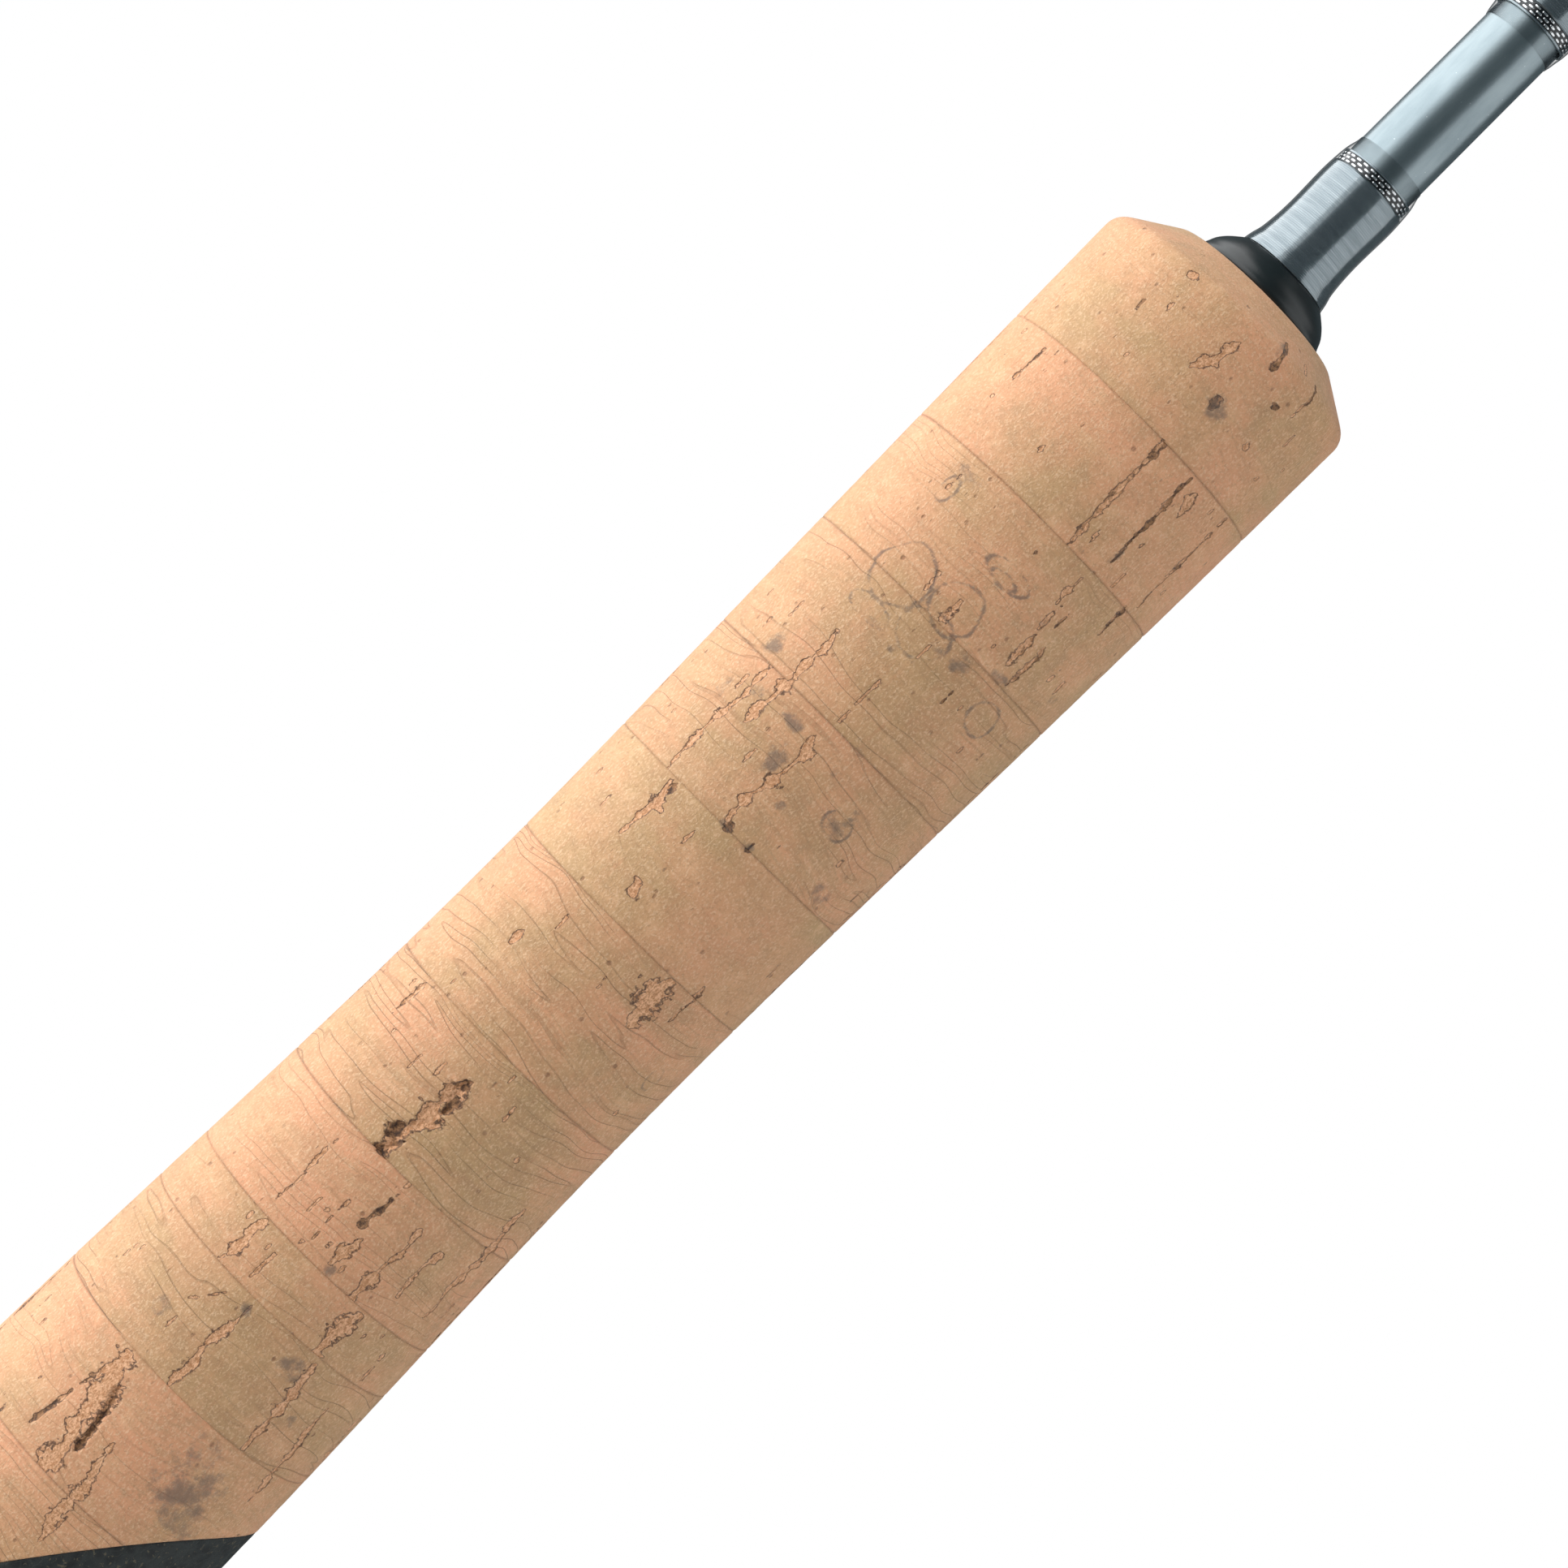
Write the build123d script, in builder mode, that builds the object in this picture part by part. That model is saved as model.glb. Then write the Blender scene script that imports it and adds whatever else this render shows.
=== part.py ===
from build123d import *
import os
from math import cos, radians, sin

# A two-piece spinning rod, assembled. X runs along the rod's axis from the butt's end to the tip, Z is
# up, and the reel seat's bed and the guides hang below, at -Z. The origin is the centre of the butt
# cap's end face. All sizes are in millimetres.

os.makedirs("parts", exist_ok=True)

# ---- gaps that keep glued, pressed and sliding pieces apart --------------------------------------------
GLUE_LINE = 0.06
BORE_GAP = 0.1
RUNNING_GAP = 0.3
FERRULE_GAP = 0.06

# ---- blanks ----------------------------------------------------------------------------------------------
ROD_LENGTH = 2134.0
FERRULE_OVERLAP = 60.0
BUTT_BLANK_END = 1097.0
BUTT_BLANK_START = 8.0
BUTT_RADIUS = 4.6
BLANK_TAPER = 0.00188
BLANK_WALL = 0.9
FERRULE_WALL = 0.65
FERRULE_SHOULDER = 12.0
TIP_WALL = 0.45
TIP_RADIUS = 0.85
TIP_BORE = 0.3

# ---- grips -----------------------------------------------------------------------------------------------
CAP_LENGTH = 20.0
CAP_RADIUS = 15.0
CAP_EDGE = 2.0
CAP_SOCKET_DEPTH = 9.0
CAP_SOCKET_RADIUS = 11.0
RING_THICKNESS = 12.7
REAR_RINGS = 19
REAR_BUTT_RADIUS = 14.4
REAR_FRONT_RADIUS = 13.0
# The rear grip's profile: share of its length ahead of the cap, and radius there.
REAR_SHAPE = ((0.14, 13.9), (0.55, 12.3))
TRIM_LENGTH = 3.0
TRIM_RADIUS = 13.6
# Thickness of each cork ring, from the foregrip's nose back towards the reel seat.
FOREGRIP_RINGS = (14.0, 12.2, 12.6, 12.7, 12.7, 12.5, 15.0, 13.4, 10.8, 5.6, 10.5, 12.7, 12.7, 12.7)
FOREGRIP_LENGTH = 185.0
NOSE_FACE_RADIUS = 8.9
NOSE_CHAMFER = 3.3
NOSE_RADIUS = 13.8
# The foregrip's swell and waist: distance behind the nose and radius there.
FOREGRIP_SHAPE = ((23.0, 13.6), (56.6, 12.95), (81.7, 12.6), (106.9, 13.08), (123.7, 13.72), (140.0, 14.15))
FOREGRIP_REAR_RADIUS = 14.0
# The black composite is scarfed into the cork: it reaches furthest forward on the underside.
SCARF_NOSE = 135.9
SCARF_DEPTH = 40.6
SCARF_POWER = 1.15

# ---- reel seat -------------------------------------------------------------------------------------------
SEAT_LENGTH = 112.0
SEAT_RADIUS = 11.0
SEAT_BORE = 7.6
FLANGE_LENGTH = 4.0
FLANGE_RADIUS = 12.9
BED_DROP = 9.6
THREAD_PITCH = 2.0
THREAD_DEPTH = 0.8
THREAD_LENGTH = 42.0
KEYWAY_WIDTH = 3.2
KEYWAY_DEPTH = 1.0
NUT_LENGTH = 14.0
NUT_RADIUS = 14.0
NUT_FLUTES = 22
FLUTE_RADIUS = 1.3
NUT_BAND_LENGTH = 2.4
NUT_BAND_WALL = 0.5
HOOD_LENGTH = 17.0
HOOD_RADIUS = 12.6
HOOD_LOBE_RADIUS = 10.6
HOOD_LOBE_DROP = 6.0
HOOD_WALL = 1.6
HOOD_COVER_WALL = 0.7
HOOD_COVER_LENGTH = 12.0
POCKET_DEPTH = 12.0
FIXED_HOOD_LENGTH = 18.0
FIXED_HOOD_SETBACK = 2.0
ARBOR_COUNT = 3
ARBOR_LENGTH = 22.0

# ---- winding check and the wraps ahead of the grip ---------------------------------------------------
CHECK_LENGTH = 3.3
CHECK_RADIUS = 6.8
CHECK_NECK_RADIUS = 4.62
# The check's bulge: share of its length, and how far the radius has dropped there.
CHECK_SHAPE = ((0.45, 0.35), (0.8, 1.3))
GRIP_WRAP_LENGTH = 13.2
KEEPER_WRAP_START = 31.8
KEEPER_WRAP_LENGTH = 24.0
THREAD_WALL = 0.22
FINISH_WALL = 0.33
TRIM_BAND_LENGTH = 1.05
TRIM_BAND_INSET = 1.8
TRIM_BAND_RISE = 0.06
FINISH_TAPER = 1.6
FINISH_EDGE = 0.2
KEEPER_WIRE_RADIUS = 0.4
KEEPER_LOOP_LENGTH = 6.0
KEEPER_LOOP_HEIGHT = 2.6
KEEPER_LOOP_LEAN = 1.2
KEEPER_FOOT = 6.5
KEEPER_FOOT_GAP = 1.0
FERRULE_SOCKET_WRAP_LENGTH = 26.0
FERRULE_SOCKET_WRAP_INSET = 1.0
FERRULE_SPIGOT_WRAP_LENGTH = 14.0
FERRULE_SPIGOT_WRAP_GAP = 2.0
FERRULE_WRAP_TAPER = 1.2

# ---- guides ----------------------------------------------------------------------------------------------
# Distance behind the tip, ring size, height of the ring's centre above the blank, number of feet.
GUIDES = (
    (1168.0, 25.0, 27.0, 2),
    (899.0, 16.0, 19.0, 2),
    (681.0, 12.0, 14.0, 2),
    (503.0, 10.0, 11.0, 1),
    (348.0, 8.0, 9.2, 1),
    (216.0, 7.0, 8.0, 1),
    (102.0, 7.0, 7.5, 1),
)
# Ring wall, leg radius, foot length and how far a foot's root stands from the ring: share and base.
RING_WALL = (0.028, 0.6)
LEG_RADIUS = (0.018, 0.24)
FOOT_LENGTH = (0.36, 6.2)
FOOT_REACH = (0.62, 2.0)
RING_FILLET_SHARE = 0.35
RING_SEAT_WALL = 0.7
RING_WIDTH = 2.2
SEAT_WIDTH = 1.4
# Each pair of legs: which way its foot points, its spread on the ring in degrees, its share of the reach.
LEG_PAIRS = ((1, 62.0, 1.0), (-1, 38.0, 0.75))
FOOT_THICKNESS = 0.6
FOOT_WIDTH = 1.8
FOOT_FLAT_SHARE = 0.55
FOOT_BARE = 1.4
WRAP_OVERRUN = 2.5
WRAP_SLOPE = 0.8
WRAP_RISE = 0.3
TIP_TUBE_LENGTH = 10.0
TIP_TUBE_WALL = 0.45
TIP_TUBE_NOSE = 1.0
TIP_RING_SIZE = 6.0
TIP_RING_WALL = 1.0
TIP_RING_DROP = 3.6
TIP_RING_REACH = 4.5
TIP_LEG_RADIUS = 0.42
TIP_LEG_ROOT = 3.0
TIP_BRACE_ROOT = 8.0
# Where the tip top's legs and braces meet its ring, in degrees from the ring's top.
TIP_LEG_SPREAD = 70.0
TIP_BRACE_SPREAD = 143.0
TIP_WRAP_LENGTH = 5.0

# ---- places along the rod, worked out from the sizes above ---------------------------------------------
REAR_GRIP_END = CAP_LENGTH + REAR_RINGS * RING_THICKNESS
SEAT_START = REAR_GRIP_END + TRIM_LENGTH
SEAT_END = SEAT_START + SEAT_LENGTH
FOREGRIP_START = SEAT_END + TRIM_LENGTH
NOSE = FOREGRIP_START + FOREGRIP_LENGTH
CHECK_END = NOSE + CHECK_LENGTH
NUT_START = SEAT_START + FLANGE_LENGTH + RUNNING_GAP
HOOD_START = NUT_START + NUT_LENGTH + RUNNING_GAP
HOOD_END = HOOD_START + HOOD_LENGTH
FIXED_HOOD_END = SEAT_END - FIXED_HOOD_SETBACK
FIXED_HOOD_START = FIXED_HOOD_END - FIXED_HOOD_LENGTH
SLEEVE_BORE = SEAT_RADIUS + RUNNING_GAP
TIP_BLANK_START = BUTT_BLANK_END - FERRULE_OVERLAP
TIP_BLANK_END = ROD_LENGTH - TIP_RING_REACH - RING_WIDTH / 2


def butt_radius(x):
    """Outer radius of the butt blank at x."""
    return BUTT_RADIUS - BLANK_TAPER * (x - BUTT_BLANK_START)


FERRULE_END = BUTT_BLANK_END + FERRULE_SHOULDER
TIP_BUTT_RADIUS = butt_radius(BUTT_BLANK_END)


def tip_radius(x):
    """Outer radius of the tip blank at x: its socket follows the butt blank, then it tapers to the tip."""
    if x <= BUTT_BLANK_END:
        return butt_radius(x) + FERRULE_GAP + FERRULE_WALL
    if x <= FERRULE_END:
        share = (x - BUTT_BLANK_END) / FERRULE_SHOULDER
        start = TIP_BUTT_RADIUS + FERRULE_GAP + FERRULE_WALL
        return start + share * (TIP_BUTT_RADIUS - start)
    share = (x - FERRULE_END) / (TIP_BLANK_END - FERRULE_END)
    return TIP_BUTT_RADIUS + share * (TIP_RADIUS - TIP_BUTT_RADIUS)


def blank_radius(x):
    """Outer radius of whichever blank shows at x."""
    return butt_radius(x) if x < TIP_BLANK_START else tip_radius(x)


def turned(outline):
    """A solid of revolution about the rod's axis, from its (x, radius) outline."""
    with BuildPart() as body:
        with BuildSketch(Plane.XZ):
            with BuildLine():
                Polyline(*outline, close=True)
            make_face()
        revolve(axis=Axis.X)
    return body.part


def sleeve_on_blank(start, end, wall, gap):
    """A plain tapered sleeve round the butt blank."""
    return turned(
        (
            (start, butt_radius(start) + gap),
            (start, butt_radius(start) + gap + wall),
            (end, butt_radius(end) + gap + wall),
            (end, butt_radius(end) + gap),
        )
    )


def wrap_over_foot(near, far, foot_length, tall):
    """A wrap and its finish over one foot, from the foot's bare root to just past its thin end."""
    towards = 1 if far > near else -1
    return turned(
        (
            (near, blank_radius(near) + GLUE_LINE / 2),
            (near, blank_radius(near) + tall / 2),
            (near + towards * WRAP_SLOPE, blank_radius(near) + tall),
            (far - towards * FOOT_FLAT_SHARE * foot_length, blank_radius(far) + tall),
            (far - towards * WRAP_SLOPE, blank_radius(far) + WRAP_RISE),
            (far, blank_radius(far) + GLUE_LINE / 2),
        )
    )


def save(piece, node):
    """Labels a finished piece and writes it as its own node."""
    piece.label = node
    export_step(piece, f"parts/{node}.step")


# ---- blanks ----------------------------------------------------------------------------------------------
with BuildPart() as butt_blank:
    add(
        turned(
            (
                (BUTT_BLANK_START, butt_radius(BUTT_BLANK_START) - BLANK_WALL),
                (BUTT_BLANK_START, butt_radius(BUTT_BLANK_START)),
                (BUTT_BLANK_END, butt_radius(BUTT_BLANK_END)),
                (BUTT_BLANK_END, butt_radius(BUTT_BLANK_END) - BLANK_WALL),
            )
        )
    )
save(butt_blank.part, "butt_blank")

with BuildPart() as tip_blank:
    add(
        turned(
            (
                (TIP_BLANK_START, butt_radius(TIP_BLANK_START) + FERRULE_GAP),
                (TIP_BLANK_START, tip_radius(TIP_BLANK_START)),
                (BUTT_BLANK_END, tip_radius(BUTT_BLANK_END)),
                (FERRULE_END, tip_radius(FERRULE_END)),
                (TIP_BLANK_END, TIP_RADIUS),
                (TIP_BLANK_END, TIP_BORE),
                (FERRULE_END, TIP_BUTT_RADIUS - TIP_WALL),
                (BUTT_BLANK_END + RUNNING_GAP, butt_radius(BUTT_BLANK_END) + FERRULE_GAP),
            )
        )
    )
save(tip_blank.part, "tip_blank")

# ---- rear grip -------------------------------------------------------------------------------------------
with BuildPart() as butt_cap:
    add(
        turned(
            (
                (0, 0),
                (0, CAP_RADIUS - CAP_EDGE),
                (CAP_EDGE, CAP_RADIUS),
                (CAP_LENGTH - CAP_EDGE, CAP_RADIUS),
                (CAP_LENGTH, REAR_BUTT_RADIUS),
                (CAP_LENGTH, CAP_SOCKET_RADIUS),
                (CAP_LENGTH - CAP_SOCKET_DEPTH, CAP_SOCKET_RADIUS),
                (CAP_LENGTH - CAP_SOCKET_DEPTH, butt_radius(CAP_LENGTH) + BORE_GAP),
                (BUTT_BLANK_START - BORE_GAP, BUTT_RADIUS + BORE_GAP),
                (BUTT_BLANK_START - BORE_GAP, 0),
            )
        )
    )
    rim = butt_cap.edges().filter_by(GeomType.CIRCLE).sort_by(Axis.X)[:3]
    fillet(rim.sort_by(SortBy.RADIUS)[-1], CAP_EDGE / 2)
save(butt_cap.part, "butt_cap")

with BuildPart() as rear_grip:
    with BuildSketch(Plane.XZ):
        with BuildLine():
            shape = Spline(
                (CAP_LENGTH + GLUE_LINE, REAR_BUTT_RADIUS),
                *[(CAP_LENGTH + share * REAR_RINGS * RING_THICKNESS, radius) for share, radius in REAR_SHAPE],
                (REAR_GRIP_END, REAR_FRONT_RADIUS),
            )
            Polyline(
                shape @ 1,
                (REAR_GRIP_END, butt_radius(REAR_GRIP_END) + BORE_GAP),
                (CAP_LENGTH - CAP_SOCKET_DEPTH + GLUE_LINE, butt_radius(CAP_LENGTH) + BORE_GAP),
                (CAP_LENGTH - CAP_SOCKET_DEPTH + GLUE_LINE, CAP_SOCKET_RADIUS - BORE_GAP),
                (CAP_LENGTH + GLUE_LINE, CAP_SOCKET_RADIUS - BORE_GAP),
                shape @ 0,
            )
        make_face()
    revolve(axis=Axis.X)
    # The glue lines part the grip into its rings.
    with Locations(*[(CAP_LENGTH + n * RING_THICKNESS, 0, 0) for n in range(1, REAR_RINGS)]):
        Cylinder(2 * CAP_RADIUS, GLUE_LINE, rotation=(0, 90, 0), mode=Mode.SUBTRACT)

rear_rings = rear_grip.part.solids().sort_by(Axis.X)
with BuildPart() as rear_cork_rings:
    add(rear_rings[1:-1])
save(rear_cork_rings.part, "rear_grip_cork_rings")
with BuildPart() as rear_composite_rings:
    add([rear_rings[0], rear_rings[-1]])
save(rear_composite_rings.part, "rear_grip_composite_rings")

for node, start in (("rear_trim_ring", REAR_GRIP_END), ("front_trim_ring", SEAT_END)):
    with BuildPart() as trim_ring:
        add(
            turned(
                (
                    (start + GLUE_LINE, butt_radius(start) + BORE_GAP),
                    (start + GLUE_LINE, TRIM_RADIUS),
                    (start + TRIM_LENGTH - GLUE_LINE, TRIM_RADIUS),
                    (start + TRIM_LENGTH - GLUE_LINE, butt_radius(start) + BORE_GAP),
                )
            )
        )
        crest = trim_ring.edges().filter_by(GeomType.CIRCLE).sort_by(SortBy.RADIUS)[-2:]
        fillet(crest, TRIM_LENGTH / 4)
    save(trim_ring.part, node)

# ---- reel seat -------------------------------------------------------------------------------------------


def hood_outline(grown):
    """The hoods' cross-section, grown by that much: a round sleeve with a lobe over the reel's foot."""
    with BuildSketch() as outline:
        Circle(HOOD_RADIUS + grown)
        with Locations((0, -HOOD_LOBE_DROP)):
            Circle(HOOD_LOBE_RADIUS + grown)
    return outline.sketch


def pocket_outline():
    """The cross-section of a hood's pocket, from the bed down to the hood's wall."""
    pocket_radius = HOOD_LOBE_RADIUS - HOOD_WALL
    with BuildSketch() as outline:
        with Locations((0, -HOOD_LOBE_DROP)):
            Circle(pocket_radius)
        with Locations((0, -BED_DROP)):
            Rectangle(2 * pocket_radius, pocket_radius, align=(Align.CENTER, Align.MAX), mode=Mode.INTERSECT)
    return outline.sketch


def hood_cover(start):
    """A thin steel band round a hood."""
    with BuildPart() as cover:
        with BuildSketch(Plane.YZ.offset(start)):
            add(hood_outline(GLUE_LINE + HOOD_COVER_WALL))
            add(hood_outline(GLUE_LINE), mode=Mode.SUBTRACT)
        extrude(amount=HOOD_COVER_LENGTH)
    return cover.part


with BuildPart() as reel_seat_body:
    thread_start = SEAT_START + FLANGE_LENGTH
    add(
        turned(
            (
                (SEAT_START, SEAT_BORE),
                (SEAT_START, FLANGE_RADIUS),
                (thread_start, FLANGE_RADIUS),
                (thread_start, SEAT_RADIUS),
                (SEAT_END - FLANGE_LENGTH / 2, SEAT_RADIUS),
                (SEAT_END - FLANGE_LENGTH / 2, FLANGE_RADIUS),
                (SEAT_END, FLANGE_RADIUS),
                (SEAT_END, SEAT_BORE),
            )
        )
    )
    # Thread grooves, one each pitch.
    with BuildSketch(Plane.XZ):
        turns = [thread_start + (n + 0.5) * THREAD_PITCH for n in range(int(THREAD_LENGTH / THREAD_PITCH))]
        with Locations(*[(x, SEAT_RADIUS - THREAD_DEPTH / 2) for x in turns]):
            Trapezoid(0.7 * THREAD_PITCH, THREAD_DEPTH, 120)
    revolve(axis=Axis.X, mode=Mode.SUBTRACT)
    # The flat bed for the reel's foot, and the keyway that stops the moving hood from turning.
    with BuildSketch(Plane.YZ.offset(thread_start)):
        with Locations((0, -BED_DROP)):
            Rectangle(2 * SEAT_RADIUS, SEAT_RADIUS, align=(Align.CENTER, Align.MAX))
        with Locations((0, SEAT_RADIUS - KEYWAY_DEPTH)):
            Rectangle(KEYWAY_WIDTH, SEAT_RADIUS, align=(Align.CENTER, Align.MIN))
    extrude(amount=FIXED_HOOD_START - thread_start, mode=Mode.SUBTRACT)
    # The fixed hood, moulded on, with its pocket open towards the butt.
    with BuildSketch(Plane.YZ.offset(FIXED_HOOD_START)):
        add(hood_outline(0))
        Circle(SEAT_RADIUS - THREAD_DEPTH, mode=Mode.SUBTRACT)
    extrude(amount=FIXED_HOOD_LENGTH)
    with BuildSketch(Plane.YZ.offset(FIXED_HOOD_START)):
        add(pocket_outline())
    extrude(amount=POCKET_DEPTH, mode=Mode.SUBTRACT)
save(reel_seat_body.part, "reel_seat_body")

with BuildPart() as seat_arbors:
    spacing = (SEAT_LENGTH - ARBOR_LENGTH - FLANGE_LENGTH) / (ARBOR_COUNT - 1)
    for n in range(ARBOR_COUNT):
        start = SEAT_START + FLANGE_LENGTH / 2 + n * spacing
        add(
            turned(
                (
                    (start, butt_radius(start) + BORE_GAP),
                    (start, SEAT_BORE - BORE_GAP),
                    (start + ARBOR_LENGTH, SEAT_BORE - BORE_GAP),
                    (start + ARBOR_LENGTH, butt_radius(start + ARBOR_LENGTH) + BORE_GAP),
                )
            )
        )
save(seat_arbors.part, "seat_arbors")

with BuildPart() as fixed_hood_cover:
    add(hood_cover(FIXED_HOOD_START))
save(fixed_hood_cover.part, "fixed_hood_cover")

with BuildPart() as moving_hood:
    with BuildSketch(Plane.YZ.offset(HOOD_START)):
        add(hood_outline(0))
        Circle(SLEEVE_BORE, mode=Mode.SUBTRACT)
        # The key that runs in the seat's keyway.
        key_width = KEYWAY_WIDTH - 2 * RUNNING_GAP
        with Locations((0, SEAT_RADIUS - KEYWAY_DEPTH + RUNNING_GAP)):
            Rectangle(key_width, KEYWAY_DEPTH + RUNNING_GAP, align=(Align.CENTER, Align.MIN))
    extrude(amount=HOOD_LENGTH)
    with BuildSketch(Plane.YZ.offset(HOOD_END)):
        add(pocket_outline())
    extrude(amount=-POCKET_DEPTH, mode=Mode.SUBTRACT)
save(moving_hood.part, "moving_hood")

with BuildPart() as moving_hood_cover:
    add(hood_cover(HOOD_END - HOOD_COVER_LENGTH))
save(moving_hood_cover.part, "moving_hood_cover")

with BuildPart() as lock_nut:
    with BuildSketch(Plane.YZ.offset(NUT_START)):
        Circle(NUT_RADIUS)
        Circle(SLEEVE_BORE, mode=Mode.SUBTRACT)
    extrude(amount=NUT_LENGTH)
    rims = lock_nut.edges().filter_by(GeomType.CIRCLE).sort_by(SortBy.RADIUS)[-2:]
    chamfer(rims, FLUTE_RADIUS / 2)
    with BuildSketch(Plane.YZ.offset(NUT_START)):
        with PolarLocations(NUT_RADIUS + FLUTE_RADIUS / 2, NUT_FLUTES):
            Circle(FLUTE_RADIUS)
    extrude(amount=NUT_LENGTH - 2 * NUT_BAND_LENGTH, mode=Mode.SUBTRACT)
    # The seat that the bright band is pressed on.
    with BuildSketch(Plane.YZ.offset(NUT_START + NUT_LENGTH - NUT_BAND_LENGTH)):
        Circle(2 * NUT_RADIUS)
        Circle(NUT_RADIUS - NUT_BAND_WALL - GLUE_LINE, mode=Mode.SUBTRACT)
    extrude(amount=NUT_BAND_LENGTH, mode=Mode.SUBTRACT)
save(lock_nut.part, "lock_nut")

with BuildPart() as lock_nut_band:
    with BuildSketch(Plane.YZ.offset(NUT_START + NUT_LENGTH - NUT_BAND_LENGTH + GLUE_LINE)):
        Circle(NUT_RADIUS)
        Circle(NUT_RADIUS - NUT_BAND_WALL, mode=Mode.SUBTRACT)
    extrude(amount=NUT_BAND_LENGTH - GLUE_LINE)
save(lock_nut_band.part, "lock_nut_band")

# ---- foregrip --------------------------------------------------------------------------------------------


def foregrip_blank():
    """The whole foregrip as it is turned, cork and composite together."""
    with BuildPart() as whole:
        with BuildSketch(Plane.XZ):
            with BuildLine():
                shape = Spline(
                    (NOSE - NOSE_CHAMFER, NOSE_RADIUS),
                    *[(NOSE - back, radius) for back, radius in FOREGRIP_SHAPE],
                    (FOREGRIP_START, FOREGRIP_REAR_RADIUS),
                )
                Polyline(
                    shape @ 1,
                    (FOREGRIP_START, butt_radius(FOREGRIP_START) + BORE_GAP),
                    (NOSE, butt_radius(NOSE) + BORE_GAP),
                    (NOSE, NOSE_FACE_RADIUS),
                    shape @ 0,
                )
            make_face()
        revolve(axis=Axis.X)
    return whole.part


def scarf_side(towards_butt, shift):
    """The region on one side of the scarf, which curves from its nose below to its heel on top."""
    reach = 1.1 * FOREGRIP_REAR_RADIUS
    steps = [n / 6 for n in range(7)]
    curve = [
        (NOSE - SCARF_NOSE + shift - SCARF_DEPTH * s**SCARF_POWER, reach * (2 * s - 1)) for s in steps
    ]
    far = FOREGRIP_START - reach if towards_butt else NOSE + reach
    with BuildPart() as side:
        with BuildSketch(Plane.XZ):
            with BuildLine():
                edge = Spline(*curve)
                top = ((edge @ 1).X, 2 * reach)
                bottom = ((edge @ 0).X, -2 * reach)
                Polyline(edge @ 1, top, (far, 2 * reach), (far, -2 * reach), bottom, edge @ 0)
            make_face()
        extrude(amount=2 * reach, both=True)
    return side.part


with BuildPart() as foregrip_cork_rings:
    add(foregrip_blank())
    add(scarf_side(True, 0), mode=Mode.SUBTRACT)
    joints = [NOSE - sum(FOREGRIP_RINGS[: n + 1]) for n in range(len(FOREGRIP_RINGS))]
    with Locations(*[(x, 0, 0) for x in joints]):
        Cylinder(2 * CAP_RADIUS, GLUE_LINE, rotation=(0, 90, 0), mode=Mode.SUBTRACT)
save(foregrip_cork_rings.part, "foregrip_cork_rings")

with BuildPart() as foregrip_composite:
    add(foregrip_blank())
    add(scarf_side(False, -GLUE_LINE), mode=Mode.SUBTRACT)
save(foregrip_composite.part, "foregrip_composite")

# ---- winding check and wraps -----------------------------------------------------------------------------
with BuildPart() as winding_check:
    with BuildSketch(Plane.XZ):
        with BuildLine():
            start = NOSE + GLUE_LINE
            inner = butt_radius(NOSE) + BORE_GAP
            bulge = Spline(
                (start, CHECK_RADIUS),
                *[(start + share * CHECK_LENGTH, CHECK_RADIUS - drop) for share, drop in CHECK_SHAPE],
                (CHECK_END, CHECK_NECK_RADIUS),
            )
            Polyline(bulge @ 1, (CHECK_END, inner), (start, inner), bulge @ 0)
        make_face()
    revolve(axis=Axis.X)
save(winding_check.part, "winding_check")


def wrap(prefix, start, length, band_from_start, flare):
    """A thread wrap with a decorative band and its clear finish: three nodes."""
    end = start + length
    band = start + TRIM_BAND_INSET if band_from_start else end - TRIM_BAND_INSET - TRIM_BAND_LENGTH
    band_end = band + TRIM_BAND_LENGTH
    thread_start = start + (0 if flare > FINISH_EDGE else FINISH_TAPER)
    thread_end = end - FINISH_TAPER
    with BuildPart() as thread:
        add(sleeve_on_blank(thread_start, thread_end, THREAD_WALL, GLUE_LINE))
        add(sleeve_on_blank(band - GLUE_LINE, band_end + GLUE_LINE, BUTT_RADIUS, 0), mode=Mode.SUBTRACT)
    save(thread.part, f"{prefix}_wrap_thread")
    with BuildPart() as trim:
        add(sleeve_on_blank(band, band_end, THREAD_WALL + TRIM_BAND_RISE, GLUE_LINE))
    save(trim.part, f"{prefix}_wrap_band")
    under = GLUE_LINE + THREAD_WALL + TRIM_BAND_RISE + GLUE_LINE
    with BuildPart() as coat:
        add(
            turned(
                (
                    (start, butt_radius(start) + GLUE_LINE),
                    (start, butt_radius(start) + max(flare, FINISH_EDGE)),
                    (start + FINISH_TAPER, butt_radius(start) + under + FINISH_WALL),
                    (end - FINISH_TAPER, butt_radius(end) + under + FINISH_WALL),
                    (end, butt_radius(end) + FINISH_EDGE),
                    (end, butt_radius(end) + GLUE_LINE),
                )
            )
        )
        hollow_end = thread_end + GLUE_LINE
        add(sleeve_on_blank(thread_start - GLUE_LINE, hollow_end, under, 0), mode=Mode.SUBTRACT)
    save(coat.part, f"{prefix}_wrap_finish")


CHECK_FLARE = CHECK_NECK_RADIUS - butt_radius(CHECK_END)
wrap("grip", CHECK_END + GLUE_LINE, GRIP_WRAP_LENGTH, False, CHECK_FLARE)
KEEPER_START = NOSE + KEEPER_WRAP_START
KEEPER_END = KEEPER_START + KEEPER_WRAP_LENGTH
wrap("keeper", KEEPER_START, KEEPER_WRAP_LENGTH, True, 0)

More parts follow.
